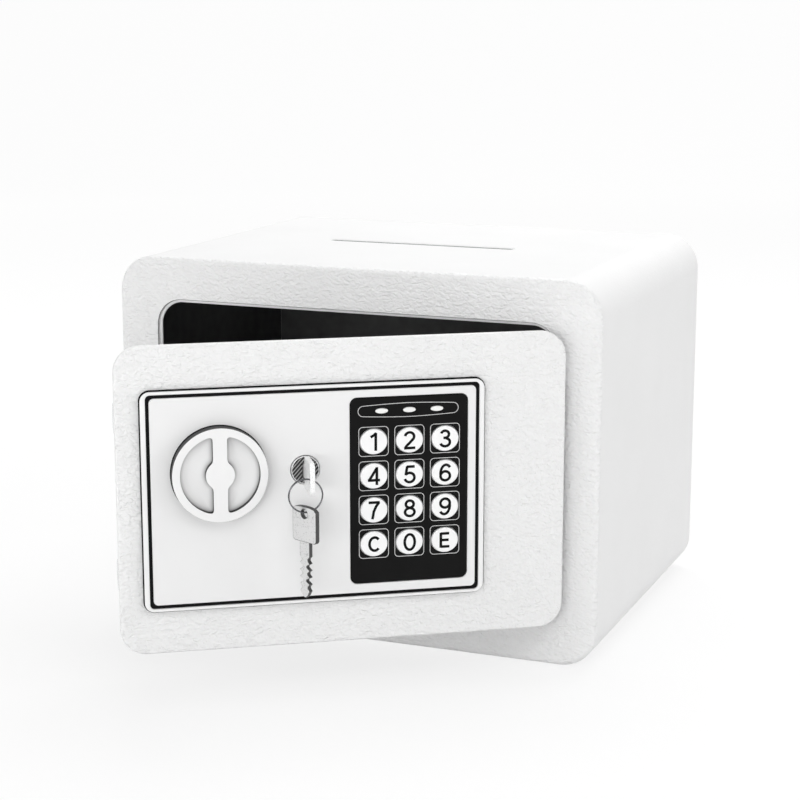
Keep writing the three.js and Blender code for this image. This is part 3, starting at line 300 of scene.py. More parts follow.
def powder_coat(name, white, strength, depth):
    """White powder coat: an orange peel of short curled wrinkles over a faint unevenness of tone."""
    s = Shader(name)
    peel = s.noise(690, 0.6, 0.45, 0.7, s.stretched((0.8, 0.8, 1.15)))
    pits = s.noise(900, 2.0)
    s.mottle(22, white - 0.012, white + 0.008)
    s.wear(900, 0.42, 0.56, 2)
    s.bump(s.mixed(pits, peel, 0.16), depth, strength)
    return s.material


def satin_coat(name, white, shine=0.5):
    """Smooth satin lacquer with a very fine grain."""
    s = Shader(name)
    s.mottle(30, white - 0.01, white + 0.01)
    s.wear(1400, 0.3, 0.42, 2)
    s.grain(2600, 0.00001, 0.35)
    s.set(Specular_IOR_Level=shine)
    return s.material


def moulded_plastic(name, tone, low=0.45, high=0.62, shine=0.5):
    """Moulded plastic with a spark-eroded grain."""
    s = Shader(name)
    darker, lighter = (tuple(c * share for c in tone) for share in (0.88, 1.12))
    s.mottle(45, darker, lighter)
    s.wear(700, low, high)
    s.grain(1900, 0.00003, 0.5, 3)
    s.set(Specular_IOR_Level=shine)
    return s.material


def gloss_black(name):
    """The keypad's smooth black front."""
    s = Shader(name)
    s.mottle(60, 0.0065, 0.0085)
    s.wear(500, 0.2, 0.3)
    s.grain(240, 0.00001, 0.25)
    s.set(Specular_IOR_Level=0.07)
    return s.material


def dark_lining(name):
    """The dark, slightly rough coat inside the case."""
    s = Shader(name)
    s.mottle(160, 0.12, 0.15, 4)
    s.wear(400, 0.75, 0.9)
    s.grain(600, 0.0001, 0.4, 3)
    s.set(Specular_IOR_Level=0.0)
    return s.material


def brushed_metal(name, tone, grain=(60, 1400, 1400), low=0.22, high=0.4, metallic=1.0):
    """Metal with fine lines along the axis on which its grain is coarsest."""
    s = Shader(name)
    lines = s.noise(1.0, 4, 0.6, place=s.stretched(grain))
    s.colour(s.ramp(lines, (0.25, tuple(c * 0.86 for c in tone)), (0.75, tone)))
    s.roughness(s.range(lines, low, high))
    s.bump(lines, 0.000008, 0.5)
    s.set(Metallic=metallic)
    return s.material


def key_metal(name, level, metallic=0.9):
    """Cast and tumbled nickel: fine speckles of light and dark."""
    s = Shader(name)
    speck = s.cells(1500)
    cloud = s.noise(420, 4, 0.7)
    blend = s.mixed(speck, cloud, 0.9)
    s.colour(s.ramp(blend, (0.35, 0.34 * level), (0.6, 0.72 * level), (0.9, 0.97 * level)))
    s.roughness(s.range(cloud, 0.3, 0.5))
    s.bump(blend, 0.00003, 0.6)
    s.set(Metallic=metallic)
    return s.material


def ribbed_plug_with_highlights(name):
    """The lock's dark face, with fine ribs on a slant whose crests are painted bright as highlights."""
    s = Shader(name)
    sideways = Vector((math.cos(OPEN), math.sin(OPEN), 0))
    across = -math.sin(RIB_RISE) * sideways + Vector((0, 0, math.cos(RIB_RISE)))
    ribs = s.waves(s.along(across), RIB_PITCH * MM)
    # The colour follows the ribs: a painted highlight on each crest, painted shade in each trough
    s.colour(s.ramp(ribs, (0.5, 0.008), (0.95, 0.3)))
    s.roughness(s.range(ribs, 0.5, 0.32))
    s.bump(ribs, 0.0002, 0.8)
    s.set(Metallic=0.5)
    return s.material


def pocket_shade_coat(name, low, high):
    """The knob's pockets: the coat, with painted shade that darkens the bowl where it meets its steep wall.
    """
    s = Shader(name)
    inward = Vector((-math.sin(OPEN), math.cos(OPEN), 0))
    shift = (PIVOT.dot(inward) - PIVOT.y) * MM
    depth = s.range(s.along(inward), 0.0, 1.0, low * MM + shift, high * MM + shift)
    shade = s.mixed(s.noise(300, 3), depth, 0.05)
    # The ramp paints shade: dark at the bowl's shallow edge by the wall, light at its deepest middle
    s.colour(s.ramp(shade, (0.0, 0.3), (0.3, 0.68), (0.62, 0.89), (1.0, 0.95)))
    s.wear(1400, 0.35, 0.48, 2)
    s.grain(2600, 0.00001, 0.35)
    return s.material


def flat_print(name, tone, shine=0.5):
    """Screen-printed ink with a faint unevenness."""
    s = Shader(name)
    s.mottle(700, tone * 0.94, tone * 1.05)
    s.wear(900, 0.4, 0.5, 2)
    s.grain(1500, 0.000006, 0.3)
    s.set(Specular_IOR_Level=shine)
    return s.material


def cap_plastic(name):
    """Matt white key tops."""
    s = Shader(name)
    s.mottle(260, 0.92, 0.95)
    s.wear(900, 0.36, 0.5)
    s.grain(1500, 0.00001, 0.4)
    return s.material


def frosted_lens(name):
    """The milky plastic of the three lights."""
    s = Shader(name)
    s.mottle(500, (0.86, 0.86, 0.84), (0.93, 0.93, 0.92))
    s.wear(900, 0.15, 0.3)
    s.grain(1200, 0.00001, 0.4)
    s.set(Specular_IOR_Level=0.6)
    return s.material


def circuit_board(name):
    """Green board with paler tracks."""
    s = Shader(name)
    tracks = s.node("ShaderNodeTexBrick", {
        "Scale": 260,
        "Mortar Size": 0.03,
        "Color1": (0.012, 0.085, 0.035, 1),
        "Color2": (0.015, 0.1, 0.04, 1),
        "Mortar": (0.03, 0.17, 0.07, 1),
    })
    s.link(s.place, tracks.inputs["Vector"])
    s.colour(tracks.outputs["Color"])
    s.wear(300, 0.3, 0.45, 2)
    s.bump(tracks.outputs["Fac"], 0.00004, 0.5)
    return s.material


def cell_wrap(name, low_z, high_z):
    """A battery's wrap: dark, with a copper band near its plus end."""
    s = Shader(name)
    split = s.node("ShaderNodeSeparateXYZ")
    s.link(s.place, split.inputs[0])
    share = s.range(split.outputs["Z"], 0.0, 1.0, low_z, high_z)
    dark, copper, bright_copper = (0.02, 0.022, 0.03), (0.42, 0.2, 0.07), (0.46, 0.23, 0.09)
    s.colour(s.ramp(share, (0.0, dark), (0.71, dark), (0.73, copper), (1.0, bright_copper)))
    s.wear(300, 0.22, 0.36)
    s.grain(900, 0.00001, 0.4)
    return s.material


FRONT_COAT = powder_coat("front_coat", 0.865, 1.0, 0.00078)
CASE_COAT = powder_coat("case_coat", 0.87, 0.4, 0.0002)
# Dark grey for the painted shade line on the front frame's opening edge
EDGE_SHADE = satin_coat("edge_shade", 0.2)
PANEL_COAT = satin_coat("panel_coat", 0.845)
RING_COAT = satin_coat("ring_coat", 0.88)
KNOB_COAT = satin_coat("knob_coat", 0.86)
# Near-black for the knob's outer wall and its pockets' steep walls: painted shade on the walls
KNOB_WALL_SHADE = satin_coat("knob_wall_shade", 0.035, 0.08)
LINING = dark_lining("lining")
DARK_PLASTIC = moulded_plastic("dark_plastic", (0.011, 0.011, 0.012))
TRAY_PLASTIC = moulded_plastic("tray_plastic", (0.004, 0.004, 0.0045), 0.5, 0.65, 0.1)
KEYPAD_BLACK = gloss_black("keypad_black")
CAP_WHITE = cap_plastic("cap_white")
INK_BLACK = flat_print("ink_black", 0.006, 0.08)
INK_WHITE = flat_print("ink_white", 0.66)
LENS = frosted_lens("lens")
ZINC = brushed_metal("zinc_steel", (0.56, 0.57, 0.58))
BRIGHT = brushed_metal("bright_steel", (0.72, 0.73, 0.74), (1400, 1400, 60), 0.12, 0.26)
RING_METAL = brushed_metal("ring_metal", (0.16, 0.16, 0.17), (300, 300, 300), 0.1, 0.2)
# The keys are the same nickel: the lock key's copy is painted lighter as if lit, and the spare key's edges
# get a dark painted shade
KEY_METAL = key_metal("key_metal", 0.74)
KEY_METAL_LIT = key_metal("key_metal_lit", 1.0, 0.35)
KEY_EDGE_SHADE = brushed_metal("key_edge_shade", (0.1, 0.1, 0.1), (300, 300, 300), 0.3, 0.45)
LOCK_METAL = brushed_metal("lock_metal", (0.86, 0.86, 0.87), (500, 500, 500), 0.2, 0.34, 0.35)
PLUG_FACE = ribbed_plug_with_highlights("plug_face")
BOARD = circuit_board("board")
RESET_RED = moulded_plastic("reset_red", (0.42, 0.012, 0.01), 0.25, 0.4)

# The CAD nodes that keep their shape, by their material
LOOKS = {
    ZINC: (
        "hinge_bracket_top", "hinge_bracket_bottom", "hinge_arm_top", "hinge_arm_bottom",
        "knob_shaft", "knob_crank", "lock_chassis", "bolt_carrier", "lock_cam",
        *(f"cover_screw_{i}" for i in range(1, 5)),
    ),
    BRIGHT: (
        "hinge_pin_top", "hinge_pin_bottom", "solenoid_plunger",
        "battery_contact_upper", "battery_contact_lower",
    ),
    DARK_PLASTIC: ("inner_cover", "battery_tray", "battery_lid", "solenoid"),
    BOARD: ("keypad_board",),
    RESET_RED: ("reset_button",),
}


# Outlines: each is a function of how far the outline is drawn into the space that it bounds

def spread(first, last, steps):
    """Numbers at even steps from the first to the last."""
    return [first + (last - first) * i / steps for i in range(steps + 1)]


def arc(cx, cz, rx, rz, start, end, steps):
    """Points along a part of an oval, with its angles in degrees."""
    return [
        (cx + rx * math.cos(math.radians(turn)), cz + rz * math.sin(math.radians(turn)))
        for turn in spread(start, end, steps)
    ]


def rect(x0, x1, z0, z1, radius, steps):
    """A rectangle with round corners."""
    def points(inset=0.0):
        r = max(radius - inset, 0.05)
        left, right = x0 + inset + r, x1 - inset - r
        low, high = z0 + inset + r, z1 - inset - r
        corners = ((right, high, 0), (left, high, 90), (left, low, 180), (right, low, 270))
        return [spot for cx, cz, turn in corners for spot in arc(cx, cz, r, r, turn, turn + 90, steps)]
    return points


def oval(cx, cz, rx, rz, steps):
    def points(inset=0.0):
        return arc(cx, cz, rx - inset, rz - inset, 0, 360, steps)[:-1]
    return points


def disc(centre, radius, steps=48):
    return oval(*centre, radius, radius, steps)


def grown(bounds, side, end=None):
    """Bounds moved outward by one length at the sides and by another at the top and bottom."""
    end = side if end is None else end
    return bounds[0] - side, bounds[1] + side, bounds[2] - end, bounds[3] + end


def around(x, z, half_x, half_z):
    """The bounds of a rectangle that has its middle at a point."""
    return x - half_x, x + half_x, z - half_z, z + half_z


# Meshes

class Solid:
    """Vertices and faces of one piece, in millimetres, with the material of each face."""

    def __init__(self):
        self.verts = []
        self.faces = []
        self.slots = []

    def ring(self, points, depth, axis="y"):
        """Vertices at one depth along an axis; points are their other two coordinates."""
        return self.loop([(a, depth, b) if axis == "y" else (depth, a, b) for a, b in points])

    def loop(self, points):
        start = len(self.verts)
        self.verts.extend(points)
        return list(range(start, len(self.verts)))

    def face(self, corners, slot=0):
        self.faces.append(corners)
        self.slots.append(slot)

    def bridge(self, first, second, slot=0, closed=True):
        count = len(first)
        for i in range(count if closed else count - 1):
            j = (i + 1) % count
            self.face((first[i], first[j], second[j], second[i]), slot)

    def skin(self, rings, slot=0, closed=True):
        """Faces from each ring to the next."""
        for first, second in zip(rings, rings[1:]):
            self.bridge(first, second, slot, closed)

    def hoop(self, rings, slot=0, closed=True):
        """Faces from each ring to the next and back to the first; open rings get ends."""
        self.skin(rings + rings[:1], slot, closed)
        if not closed:
            for end in (0, -1):
                self.face(tuple(ring[end] for ring in rings), slot)

    def cap(self, rings, slot=0, axis="y"):
        """A flat face between rings: the first is its outline, the others its holes."""
        flat = [index for ring in rings for index in ring]
        a = 0 if axis == "y" else 1
        outlines = [[Vector((self.verts[i][a], self.verts[i][2], 0)) for i in ring] for ring in rings]
        for tri in tessellate_polygon(outlines):
            self.face(tuple(flat[k] for k in tri), slot)

    def fan(self, ring, centre):
        middle = len(self.verts)
        self.verts.append(centre)
        for i in range(len(ring)):
            self.face((ring[i], ring[(i + 1) % len(ring)], middle))

    def mesh(self, name, matrix):
        made = bpy.data.meshes.new(name)
        made.from_pydata(self.verts, [], self.faces)
        made.polygons.foreach_set("material_index", self.slots)
        work = bmesh.new()
        work.from_mesh(made)
        bmesh.ops.remove_doubles(work, verts=work.verts, dist=1e-5)
        bmesh.ops.recalc_face_normals(work, faces=work.faces)
        work.to_mesh(made)
        work.free()
        made.transform(Matrix.Scale(MM, 4) @ matrix)
        return made


def quarter(radius, steps):
    """Rows of (inset, depth) of a quarter round, from the flat face to the side."""
    if radius == 0:
        return [(0.0, 0.0)]
    return [(radius * (1 - math.sin(a)), radius * (1 - math.cos(a))) for a in spread(0, math.pi / 2, steps)]


def rounded(y0, y1, front, back, steps=5):
    """Rows of (inset, depth) from a plate's front face round its edge to its back face."""
    rows = [(inset, y0 + depth) for inset, depth in quarter(front, steps)]
    return rows + [(inset, y1 - depth) for inset, depth in reversed(quarter(back, steps))]


def add_plate(solid, outer, holes, y0, y1, edge, bore=None, slots=(0, 0, 0), steps=5, axis="y"):
    """A plate across an axis.

    Its outer edge has two radii, at the front and at the back, and so have its holes' edges.
    The slots are the materials of its front, its edges and its back.
    """
    fronts, backs = [], []
    for outline, way, rounds in [(outer, 1, edge)] + [(hole, -1, bore or edge) for hole in holes]:
        rings = [solid.ring(outline(way * inset), y, axis) for inset, y in rounded(y0, y1, *rounds, steps)]
        solid.skin(rings, slots[1])
        fronts.append(rings[0])
        backs.append(rings[-1])
    solid.cap(fronts, slots[0], axis)
    solid.cap(backs, slots[2], axis)


def add_rod(solid, profile, centre, axis, sides):
    """A turned form along X or Z: profile is (radius, place along the axis) rows from end to end."""
    def spot(a, b, along):
        first, second = centre[0] + a, centre[1] + b
        return (along, first, second) if axis == "x" else (first, second, along)

    rings = []
    for radius, along in profile:
        turns = [2 * math.pi * i / sides for i in range(sides)]
        rings.append(solid.loop([spot(radius * math.cos(a), radius * math.sin(a), along) for a in turns]))
    solid.skin(rings)
    for ring, (_, along) in ((rings[0], profile[0]), (rings[-1], profile[-1])):
        solid.fan(ring, spot(0, 0, along))


def place(name, mesh, materials, body, slot_name, replaced=(), weighted=True, sharp=35):
    """Put a finished mesh into the scene as one piece."""
    for material in materials:
        mesh.materials.append(material)
    mesh.polygons.foreach_set("use_smooth", [True] * len(mesh.polygons))
    mesh.set_sharp_from_angle(angle=math.radians(sharp))
    piece = bpy.data.objects.new(name, mesh)
    bpy.context.scene.collection.objects.link(piece)
    if weighted:
        normals = piece.modifiers.new("weighted", "WEIGHTED_NORMAL")
        normals.keep_sharp = True
        normals.weight = 80
    if replaced:
        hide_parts(*replaced)
    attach(piece, body)


def dress(node, solid, matrix, materials, body, slot_name, **settings):
    """The fine form of a node, in its place."""
    name = f"{node}_fine"
    place(name, solid.mesh(name, matrix), materials, body, slot_name, [node], **settings)


def add(name, solid, matrix, material, body, slot_name, **settings):
    """A fine piece that stands for no node of its own."""
    place(name, solid.mesh(name, matrix), [material], body, slot_name, **settings)


def carved(mesh, *cutters):
    """The mesh with the cutters' solids taken away."""
    target = bpy.data.objects.new("carving", mesh)
    bpy.context.scene.collection.objects.link(target)
    tools = []
    for i, cutter in enumerate(cutters):
        tool = bpy.data.objects.new(f"cutter_{i}", cutter)
        bpy.context.scene.collection.objects.link(tool)
        tools.append(tool)
        cut = target.modifiers.new(f"cut_{i}", "BOOLEAN")
        cut.operation = "DIFFERENCE"
        cut.solver = "EXACT"
        cut.object = tool
    bpy.context.view_layer.update()
    seen = target.evaluated_get(bpy.context.evaluated_depsgraph_get())
    result = bpy.data.meshes.new_from_object(seen)
    for made in (target, *tools):
        bpy.data.objects.remove(made)
    return result


# Case

def make_case():
    solid = Solid()

    def rings(outline, way, radius):
        back = [(inset, BACK - depth) for inset, depth in reversed(quarter(radius, 5))]
        return [solid.ring(outline(way * inset), y) for inset, y in [(0, FRAME_BACK), (0, 0)] + back]

    outside = rings(rect(*CASE, CASE_RADIUS, 32), 1, CASE_BACK_ROUND)
    inside = rings(rect(*grown(CASE, -WALL), CASE_RADIUS - WALL, 32), -1, CASE_BACK_ROUND_INSIDE)
    solid.skin(outside)
    solid.skin(inside)
    for end in (0, -1):
        solid.bridge(outside[end], inside[end])

    cutters = [slot_cutter()]
    for side in (-1, 1):
        drill = Solid()
        add_rod(drill, [(ANCHOR_RADIUS, -3), (ANCHOR_RADIUS, 4)], (side * ANCHOR_X, ANCHOR_Y), "z", 48)
        cutters.append(drill.mesh("drill", CLOSED))
    mesh = carved(solid.mesh("body_shell_fine", CLOSED), *cutters)
    for face in mesh.polygons:
        face.material_index = 1 if is_lined_or_slot_shade(face.center / MM, face.normal) else 0
    place("body_shell_fine", mesh, [CASE_COAT, LINING], "safe_body", "white_coat", ["body_shell"])


def slot_cutter():
    """The room of the slot in the top, with a softened upper edge."""
    x0, x1, y0, y1 = SLOT
    middle = ((x0 + x1) / 2, (y0 + y1) / 2)
    oblong = rect(x0, x1, y0, y1, (y1 - y0) / 2 - 0.01, 8)
    levels = [
        (-SLOT_SOFT, HEIGHT + 1),
        (-SLOT_SOFT, HEIGHT),
        (0, HEIGHT - SLOT_SOFT),
        (0, HEIGHT - SLOT_DEEP),
    ]
    solid = Solid()
    rings = [solid.loop([(x, y, z) for x, y in oblong(inset)]) for inset, z in levels]
    solid.skin(rings)
    solid.fan(rings[0], (*middle, HEIGHT + 1))
    solid.fan(rings[-1], (*middle, HEIGHT - SLOT_DEEP))
    return solid.mesh("slot_cutter", CLOSED)


def is_lined_or_slot_shade(spot, normal):
    """Whether a face of the case lies on its dark inside, or on the slot's wall below its soft edge, which
    takes the same dark as painted shade in the slot.
    """
    x, y, z = spot
    slack = 0.1
    x0, x1, y0, y1 = grown(SLOT, slack)
    # The slot's wall is painted dark as the shade inside the slot
    if x0 < x < x1 and y0 < y < y1 and HEIGHT - SLOT_DEEP < z < HEIGHT - SLOT_SOFT:
        return True
    looks_in = normal.x * x + normal.z * (z - HEIGHT / 2) < -1
    left, right, low, high = grown(CASE, slack - WALL)
    return looks_in and left < x < right and low < z < high


def make_front_frame():
    """The rim with its opening, and behind it the folded lip, which leaves the hinge side free."""
    solid = Solid()
    outline = rect(*CASE, CASE_RADIUS, 32)
    edge = rect(*OPENING, OPENING_RADIUS, 24)
    outside = [solid.ring(outline(d), y) for d, y in rounded(FRONT, FRAME_BACK, CORNER_ROUND, 0.0, 7)]
    inside = [solid.ring(edge(-d), y) for d, y in rounded(FRONT, FRAME_BACK, EDGE_ROUND, 0.0, 7)]
    first, last = EDGE_SHADE_ROWS
    solid.skin(outside)
    solid.skin(inside[:first + 1])
    # The middle rows of the opening's edge round take the dark grey of a painted shade line
    solid.skin(inside[first:last + 1], 2)
    solid.skin(inside[last:])
    solid.cap([outside[0], inside[0]], 0)
    solid.cap([outside[-1], inside[-1]], 1)
    dress("front_frame", solid, CLOSED, [FRONT_COAT, LINING, EDGE_SHADE], "safe_body", "white_coat")

    lip = Solid()
    rows = [
        (-LIP_SUNK, LIP_FRONT),
        (LIP_REACH - LIP_SOFT, LIP_FRONT),
        (LIP_REACH, LIP_FRONT + LIP_SOFT),
        (LIP_REACH, LIP_BACK),
        (-LIP_SUNK, LIP_BACK),
    ]
    lip.hoop([lip.ring(edge(inset), y) for inset, y in rows], closed=False)
    add("opening_lip", lip, CLOSED, CASE_COAT, "safe_body", "white_coat")


def make_back_plate():
    solid = Solid()
    inset = WALL + SEAT
    outline = rect(*grown(CASE, -inset), CASE_RADIUS - inset, 24)
    holes = [disc((side * ANCHOR_X, HEIGHT / 2), ANCHOR_RADIUS) for side in (-1, 1)]
    add_plate(solid, outline, holes, BACK - WALL, BACK, BACK_ROUNDS, slots=(1, 0, 0))
    dress("back_plate", solid, CLOSED, [CASE_COAT, LINING], "safe_body", "white_coat")


# Door and its panel

def make_door():
    holes = [rect(*grown(WELL, SEAT), WELL_CORNER, 4), disc(KNOB, SHAFT_HOLE), disc(LOCK, LOCK_HOLE)]
    leaf = rect(*DOOR, DOOR_RADIUS, 24)
    solid = Solid()
    add_plate(solid, leaf, holes, DOOR_FRONT, DOOR_BACK, DOOR_ROUNDS, BORE_ROUNDS, steps=7)
    dress("door_plate", solid, SWUNG, [FRONT_COAT], "door", "white_coat")


def make_panel():
    through = [disc(KNOB, SHAFT_HOLE), disc(LOCK, LOCK_HOLE)]
    rim, well = rect(*PANEL, PANEL_RADIUS, 12), rect(*grown(WELL, -WELL_WALL), WELL_CORNER, 4)
    tray = Solid()
    add_plate(tray, rim, [well, *through], TRAY_FRONT, TRAY_BACK, TRAY_ROUNDS, BORE_ROUNDS)
    add_plate(tray, rect(*WELL, WELL_RADIUS, 4), [well], TRAY_BACK - WELL_SUNK, DOOR_BACK, WELL_ROUNDS)
    dress("panel_tray", tray, SWUNG, [TRAY_PLASTIC], "door", "dark_plastic")

    side, end = BEZEL_WIDTHS
    inside = grown(PANEL, -REVEAL - side, -REVEAL - end)
    ring = Solid()
    add_plate(ring, rect(*grown(PANEL, -REVEAL), BEZEL_RADIUS, 12), [rect(*inside, FACE_RADIUS, 10)],
              BEZEL_FRONT, PANEL_SEAT, SEATED_ROUNDS, (0.3, 0.05))
    dress("bezel_ring", ring, SWUNG, [RING_COAT], "door", "satin_white")

    keypad_hole = rect(*grown(KEYPAD, SEAT), KEYPAD_RADIUS + SEAT, 10)
    face = Solid()
    add_plate(face, rect(*grown(inside, -GROOVE), FACE_RADIUS, 10), [keypad_hole, *through],
              FACE_FRONT, PANEL_SEAT, SEATED_ROUNDS, (0.2, 0.05))
    dress("face_panel", face, SWUNG, [PANEL_COAT], "door", "satin_white")


# Keypad

def key_places():
    """Each key's sign and the place of its middle."""
    middle_row = (len(KEY_ROWS) - 1) / 2
    for i, row in enumerate(KEY_ROWS):
        for j, sign in enumerate(row):
            yield sign, KEY_X + (j - 1) * KEY_PITCH_X, KEY_Z + (middle_row - i) * KEY_PITCH_Z


def light_places():
    return [(KEY_X + i * LIGHTS_PITCH, LIGHTS_Z) for i in (-1, 0, 1)]


def add_outline_print(solid, outline, width, y):
    """A printed line along an outline, a hair proud of the surface that it is printed on."""
    half = width / 2
    rows = ((-half, y), (-half, y - LINE_RISE), (half, y - LINE_RISE), (half, y))
    solid.hoop([solid.ring(outline(inset), front) for inset, front in rows])


def lights_frame(inset=0.0):
    """The line round the lights: round ends, and long sides that swell towards the middle."""
    reach = LIGHTS_FRAME_HALF - LIGHTS_FRAME_END
    end = LIGHTS_FRAME_END - inset
    points = []
    for way in (1, -1):
        for u in spread(1, -1, 24):
            swell = LIGHTS_FRAME_BULGE * (1 - abs(u) ** 1.6)
            points.append((way * reach * u, way * (end + swell)))
        for a in spread(0, math.pi, 12)[1:-1]:
            points.append((-way * (reach + end * math.sin(a)), way * end * math.cos(a)))
    return [(LIGHTS_FRAME_X + x, LIGHTS_FRAME_Z + z) for x, z in points]


def make_keypad():
    holes = [oval(x, z, *(half + KEY_GAP for half in KEY_HALF), 56) for _, x, z in key_places()]
    holes += [oval(x, z, *(half + LIGHT_GAP for half in LIGHT_HALF), 32) for x, z in light_places()]
    plate = Solid()
    add_plate(plate, rect(*KEYPAD, KEYPAD_RADIUS, 10), holes,
              KEYPAD_FRONT, PANEL_SEAT, SEATED_ROUNDS, (0.15, 0.05))
    dress("keypad_plate", plate, SWUNG, [KEYPAD_BLACK], "door", "gloss_black")

    lines = Solid()
    for _, x, z in key_places():
        add_outline_print(lines, rect(*around(x, z, *CELL_HALF), CELL_RADIUS, 6), LINE_WIDTH, KEYPAD_FRONT)
    add_outline_print(lines, lights_frame, LINE_WIDTH, KEYPAD_FRONT)
    add("keypad_lines", lines, SWUNG, INK_WHITE, "door", "key_cap", weighted=False)

    lens = Solid()
    for x, z in light_places():
        window = oval(x, z, *LIGHT_HALF, 32)
        add_plate(lens, window, [], KEYPAD_FRONT - LIGHT_PROUD, LENS_BAR + LENS_BAR_THICK / 2, (0.35, 0.0))
    bar = rect(*around(KEY_X, LIGHTS_Z, *LENS_BAR_HALF), 0.4, 4)
    add_plate(lens, bar, [], LENS_BAR, LENS_BAR + LENS_BAR_THICK, (0.05, 0.05))
    dress("led_lens", lens, SWUNG, [LENS], "door", "light_lens")


# Signs on the keys: strokes on a field that is one unit high, each with whether it is closed

def line(*points):
    return list(points), False


def bend(*form):
    return arc(*form), False


def bowl(cx, cz, rx, rz, steps):
    return oval(cx, cz, rx, rz, steps)(), True


def turned_about(strokes, cx, cz):
    """Strokes turned half round a point."""
    return [([(2 * cx - x, 2 * cz - z) for x, z in path], closed) for path, closed in strokes]


SIX = [bowl(0.32, 0.315, 0.24, 0.251, 36), bend(0.36, 0.44, 0.28, 0.496, 190, 44, 20)]
SIGNS = {
    "0": [bowl(0.32, 0.5, 0.256, 0.436, 40)],
    "1": [line((0.4, 0.0), (0.4, 1.0)), line((0.42, 0.985), (0.3, 0.86), (0.14, 0.765))],
    "2": [
        line(*arc(0.31, 0.7, 0.225, 0.236, 172, -36, 20), (0.31, 0.35), (0.14, 0.17), (0.09, 0.06)),
        line((0.03, 0.064), (0.6, 0.064)),
    ],
    "3": [
        bend(0.3, 0.735, 0.2, 0.2, 165, -75, 18),
        bend(0.31, 0.29, 0.24, 0.226, 82, -165, 22),
        line((0.22, 0.535), (0.36, 0.535)),
    ],
    "4": [
        line((0.46, 0.0), (0.46, 1.0)),
        line((0.01, 0.27), (0.62, 0.27)),
        line((0.47, 0.965), (0.06, 0.25)),
    ],
    "5": [
        line((0.16, 0.936), (0.57, 0.936)),
        line((0.19, 0.96), (0.115, 0.46)),
        bend(0.31, 0.325, 0.245, 0.262, 142, -165, 24),
    ],
    "6": SIX,
    "7": [line((0.04, 0.936), (0.6, 0.936)), line((0.58, 0.95), (0.42, 0.71), (0.3, 0.42), (0.235, 0.0))],
    "8": [bowl(0.32, 0.735, 0.198, 0.201, 32), bowl(0.32, 0.288, 0.24, 0.224, 36)],
    "9": turned_about(SIX, 0.32, 0.5),
    "c": [bend(0.41, 0.5, 0.34, 0.436, 42, 318, 30)],
    "e": [
        line((0.09, 0.0), (0.09, 1.0)),
        line((0.09, 0.064), (0.66, 0.064)),
        line((0.09, 0.5), (0.61, 0.5)),
        line((0.09, 0.936), (0.64, 0.936)),
    ],
}


def add_stroke(solid, path, closed, half, y, slot):
    """A stroke of a printed sign: a ribbon along a path of (x, z) points."""
    count = len(path)
    sides = ([], [])
    for i, (x, z) in enumerate(path):
        before = path[(i - 1) % count] if closed or i > 0 else path[i]
        after = path[(i + 1) % count] if closed or i < count - 1 else path[i]
        dx, dz = after[0] - before[0], after[1] - before[1]
        size = math.hypot(dx, dz)
        for side, way in zip(sides, (1, -1)):
            side.append((x - way * half * dz / size, z + way * half * dx / size))
    left, right = sides
    front = y - SIGN_RISE
    rows = ((left, y), (left, front), (right, front), (right, y))
    solid.hoop([solid.ring(side, depth) for side, depth in rows], slot, closed)


def make_keys():
    for sign, x, z in key_places():
        cap, flange = oval(x, z, *KEY_HALF, 56), rect(*around(x, z, FLANGE_HALF, FLANGE_HALF), 0.6, 4)
        seat = CAP_BACK - FLANGE_THICK
        solid = Solid()
        add_plate(solid, cap, [], CAP_FRONT, seat, CAP_ROUNDS, steps=6)
        add_plate(solid, flange, [], seat, CAP_BACK, (0.05, 0.1))
        height, stretch = LETTER_FORM if sign in "ce" else DIGIT_FORM
        middle = SIGN_WIDTHS.get(sign, DIGIT_WIDTH) / 2
        for path, closed in SIGNS[sign]:
            spots = [(x + (px - middle) * height * stretch, z + (pz - 0.5) * height) for px, pz in path]
            add_stroke(solid, spots, closed, SIGN_STROKE / 2, CAP_FRONT + SIGN_SUNK, 1)
        dress(f"key_{sign}", solid, SWUNG, [CAP_WHITE, INK_BLACK], f"key_{sign}", "key_cap")


# Knob

def pocket(side):
    """One bowl's outline: between the grip bar, the hub and the rim, with softened corners."""
    def points(inset=0.0):
        outer, bar, hub = POCKET_RADIUS - inset, GRIP_HALF + inset, HUB_RADIUS + inset
        high = math.acos(min(bar / outer, 0.999))
        low = math.acos(min(bar / hub, 0.999))
        z_out, z_in = outer * math.sin(high), hub * math.sin(low)
        path = [(outer * math.cos(a), outer * math.sin(a)) for a in spread(-high, high, 60)]
        path += [(bar, z) for z in spread(z_out, z_in, 24)[1:]]
        path += [(hub * math.cos(a), hub * math.sin(a)) for a in spread(low, -low, 36)[1:]]
        path += [(bar, z) for z in spread(-z_in, -z_out, 24)[1:-1]]
        for _ in range(POCKET_SOFTENINGS):
            path = [
                tuple((a + 2 * b + c) / 4 for a, b, c in zip(*spots))
                for spots in zip(path[-1:] + path[:-1], path, path[1:] + path[:1])
            ]
        return [(KNOB[0] + side * x, KNOB[1] + z) for x, z in path]
    return points


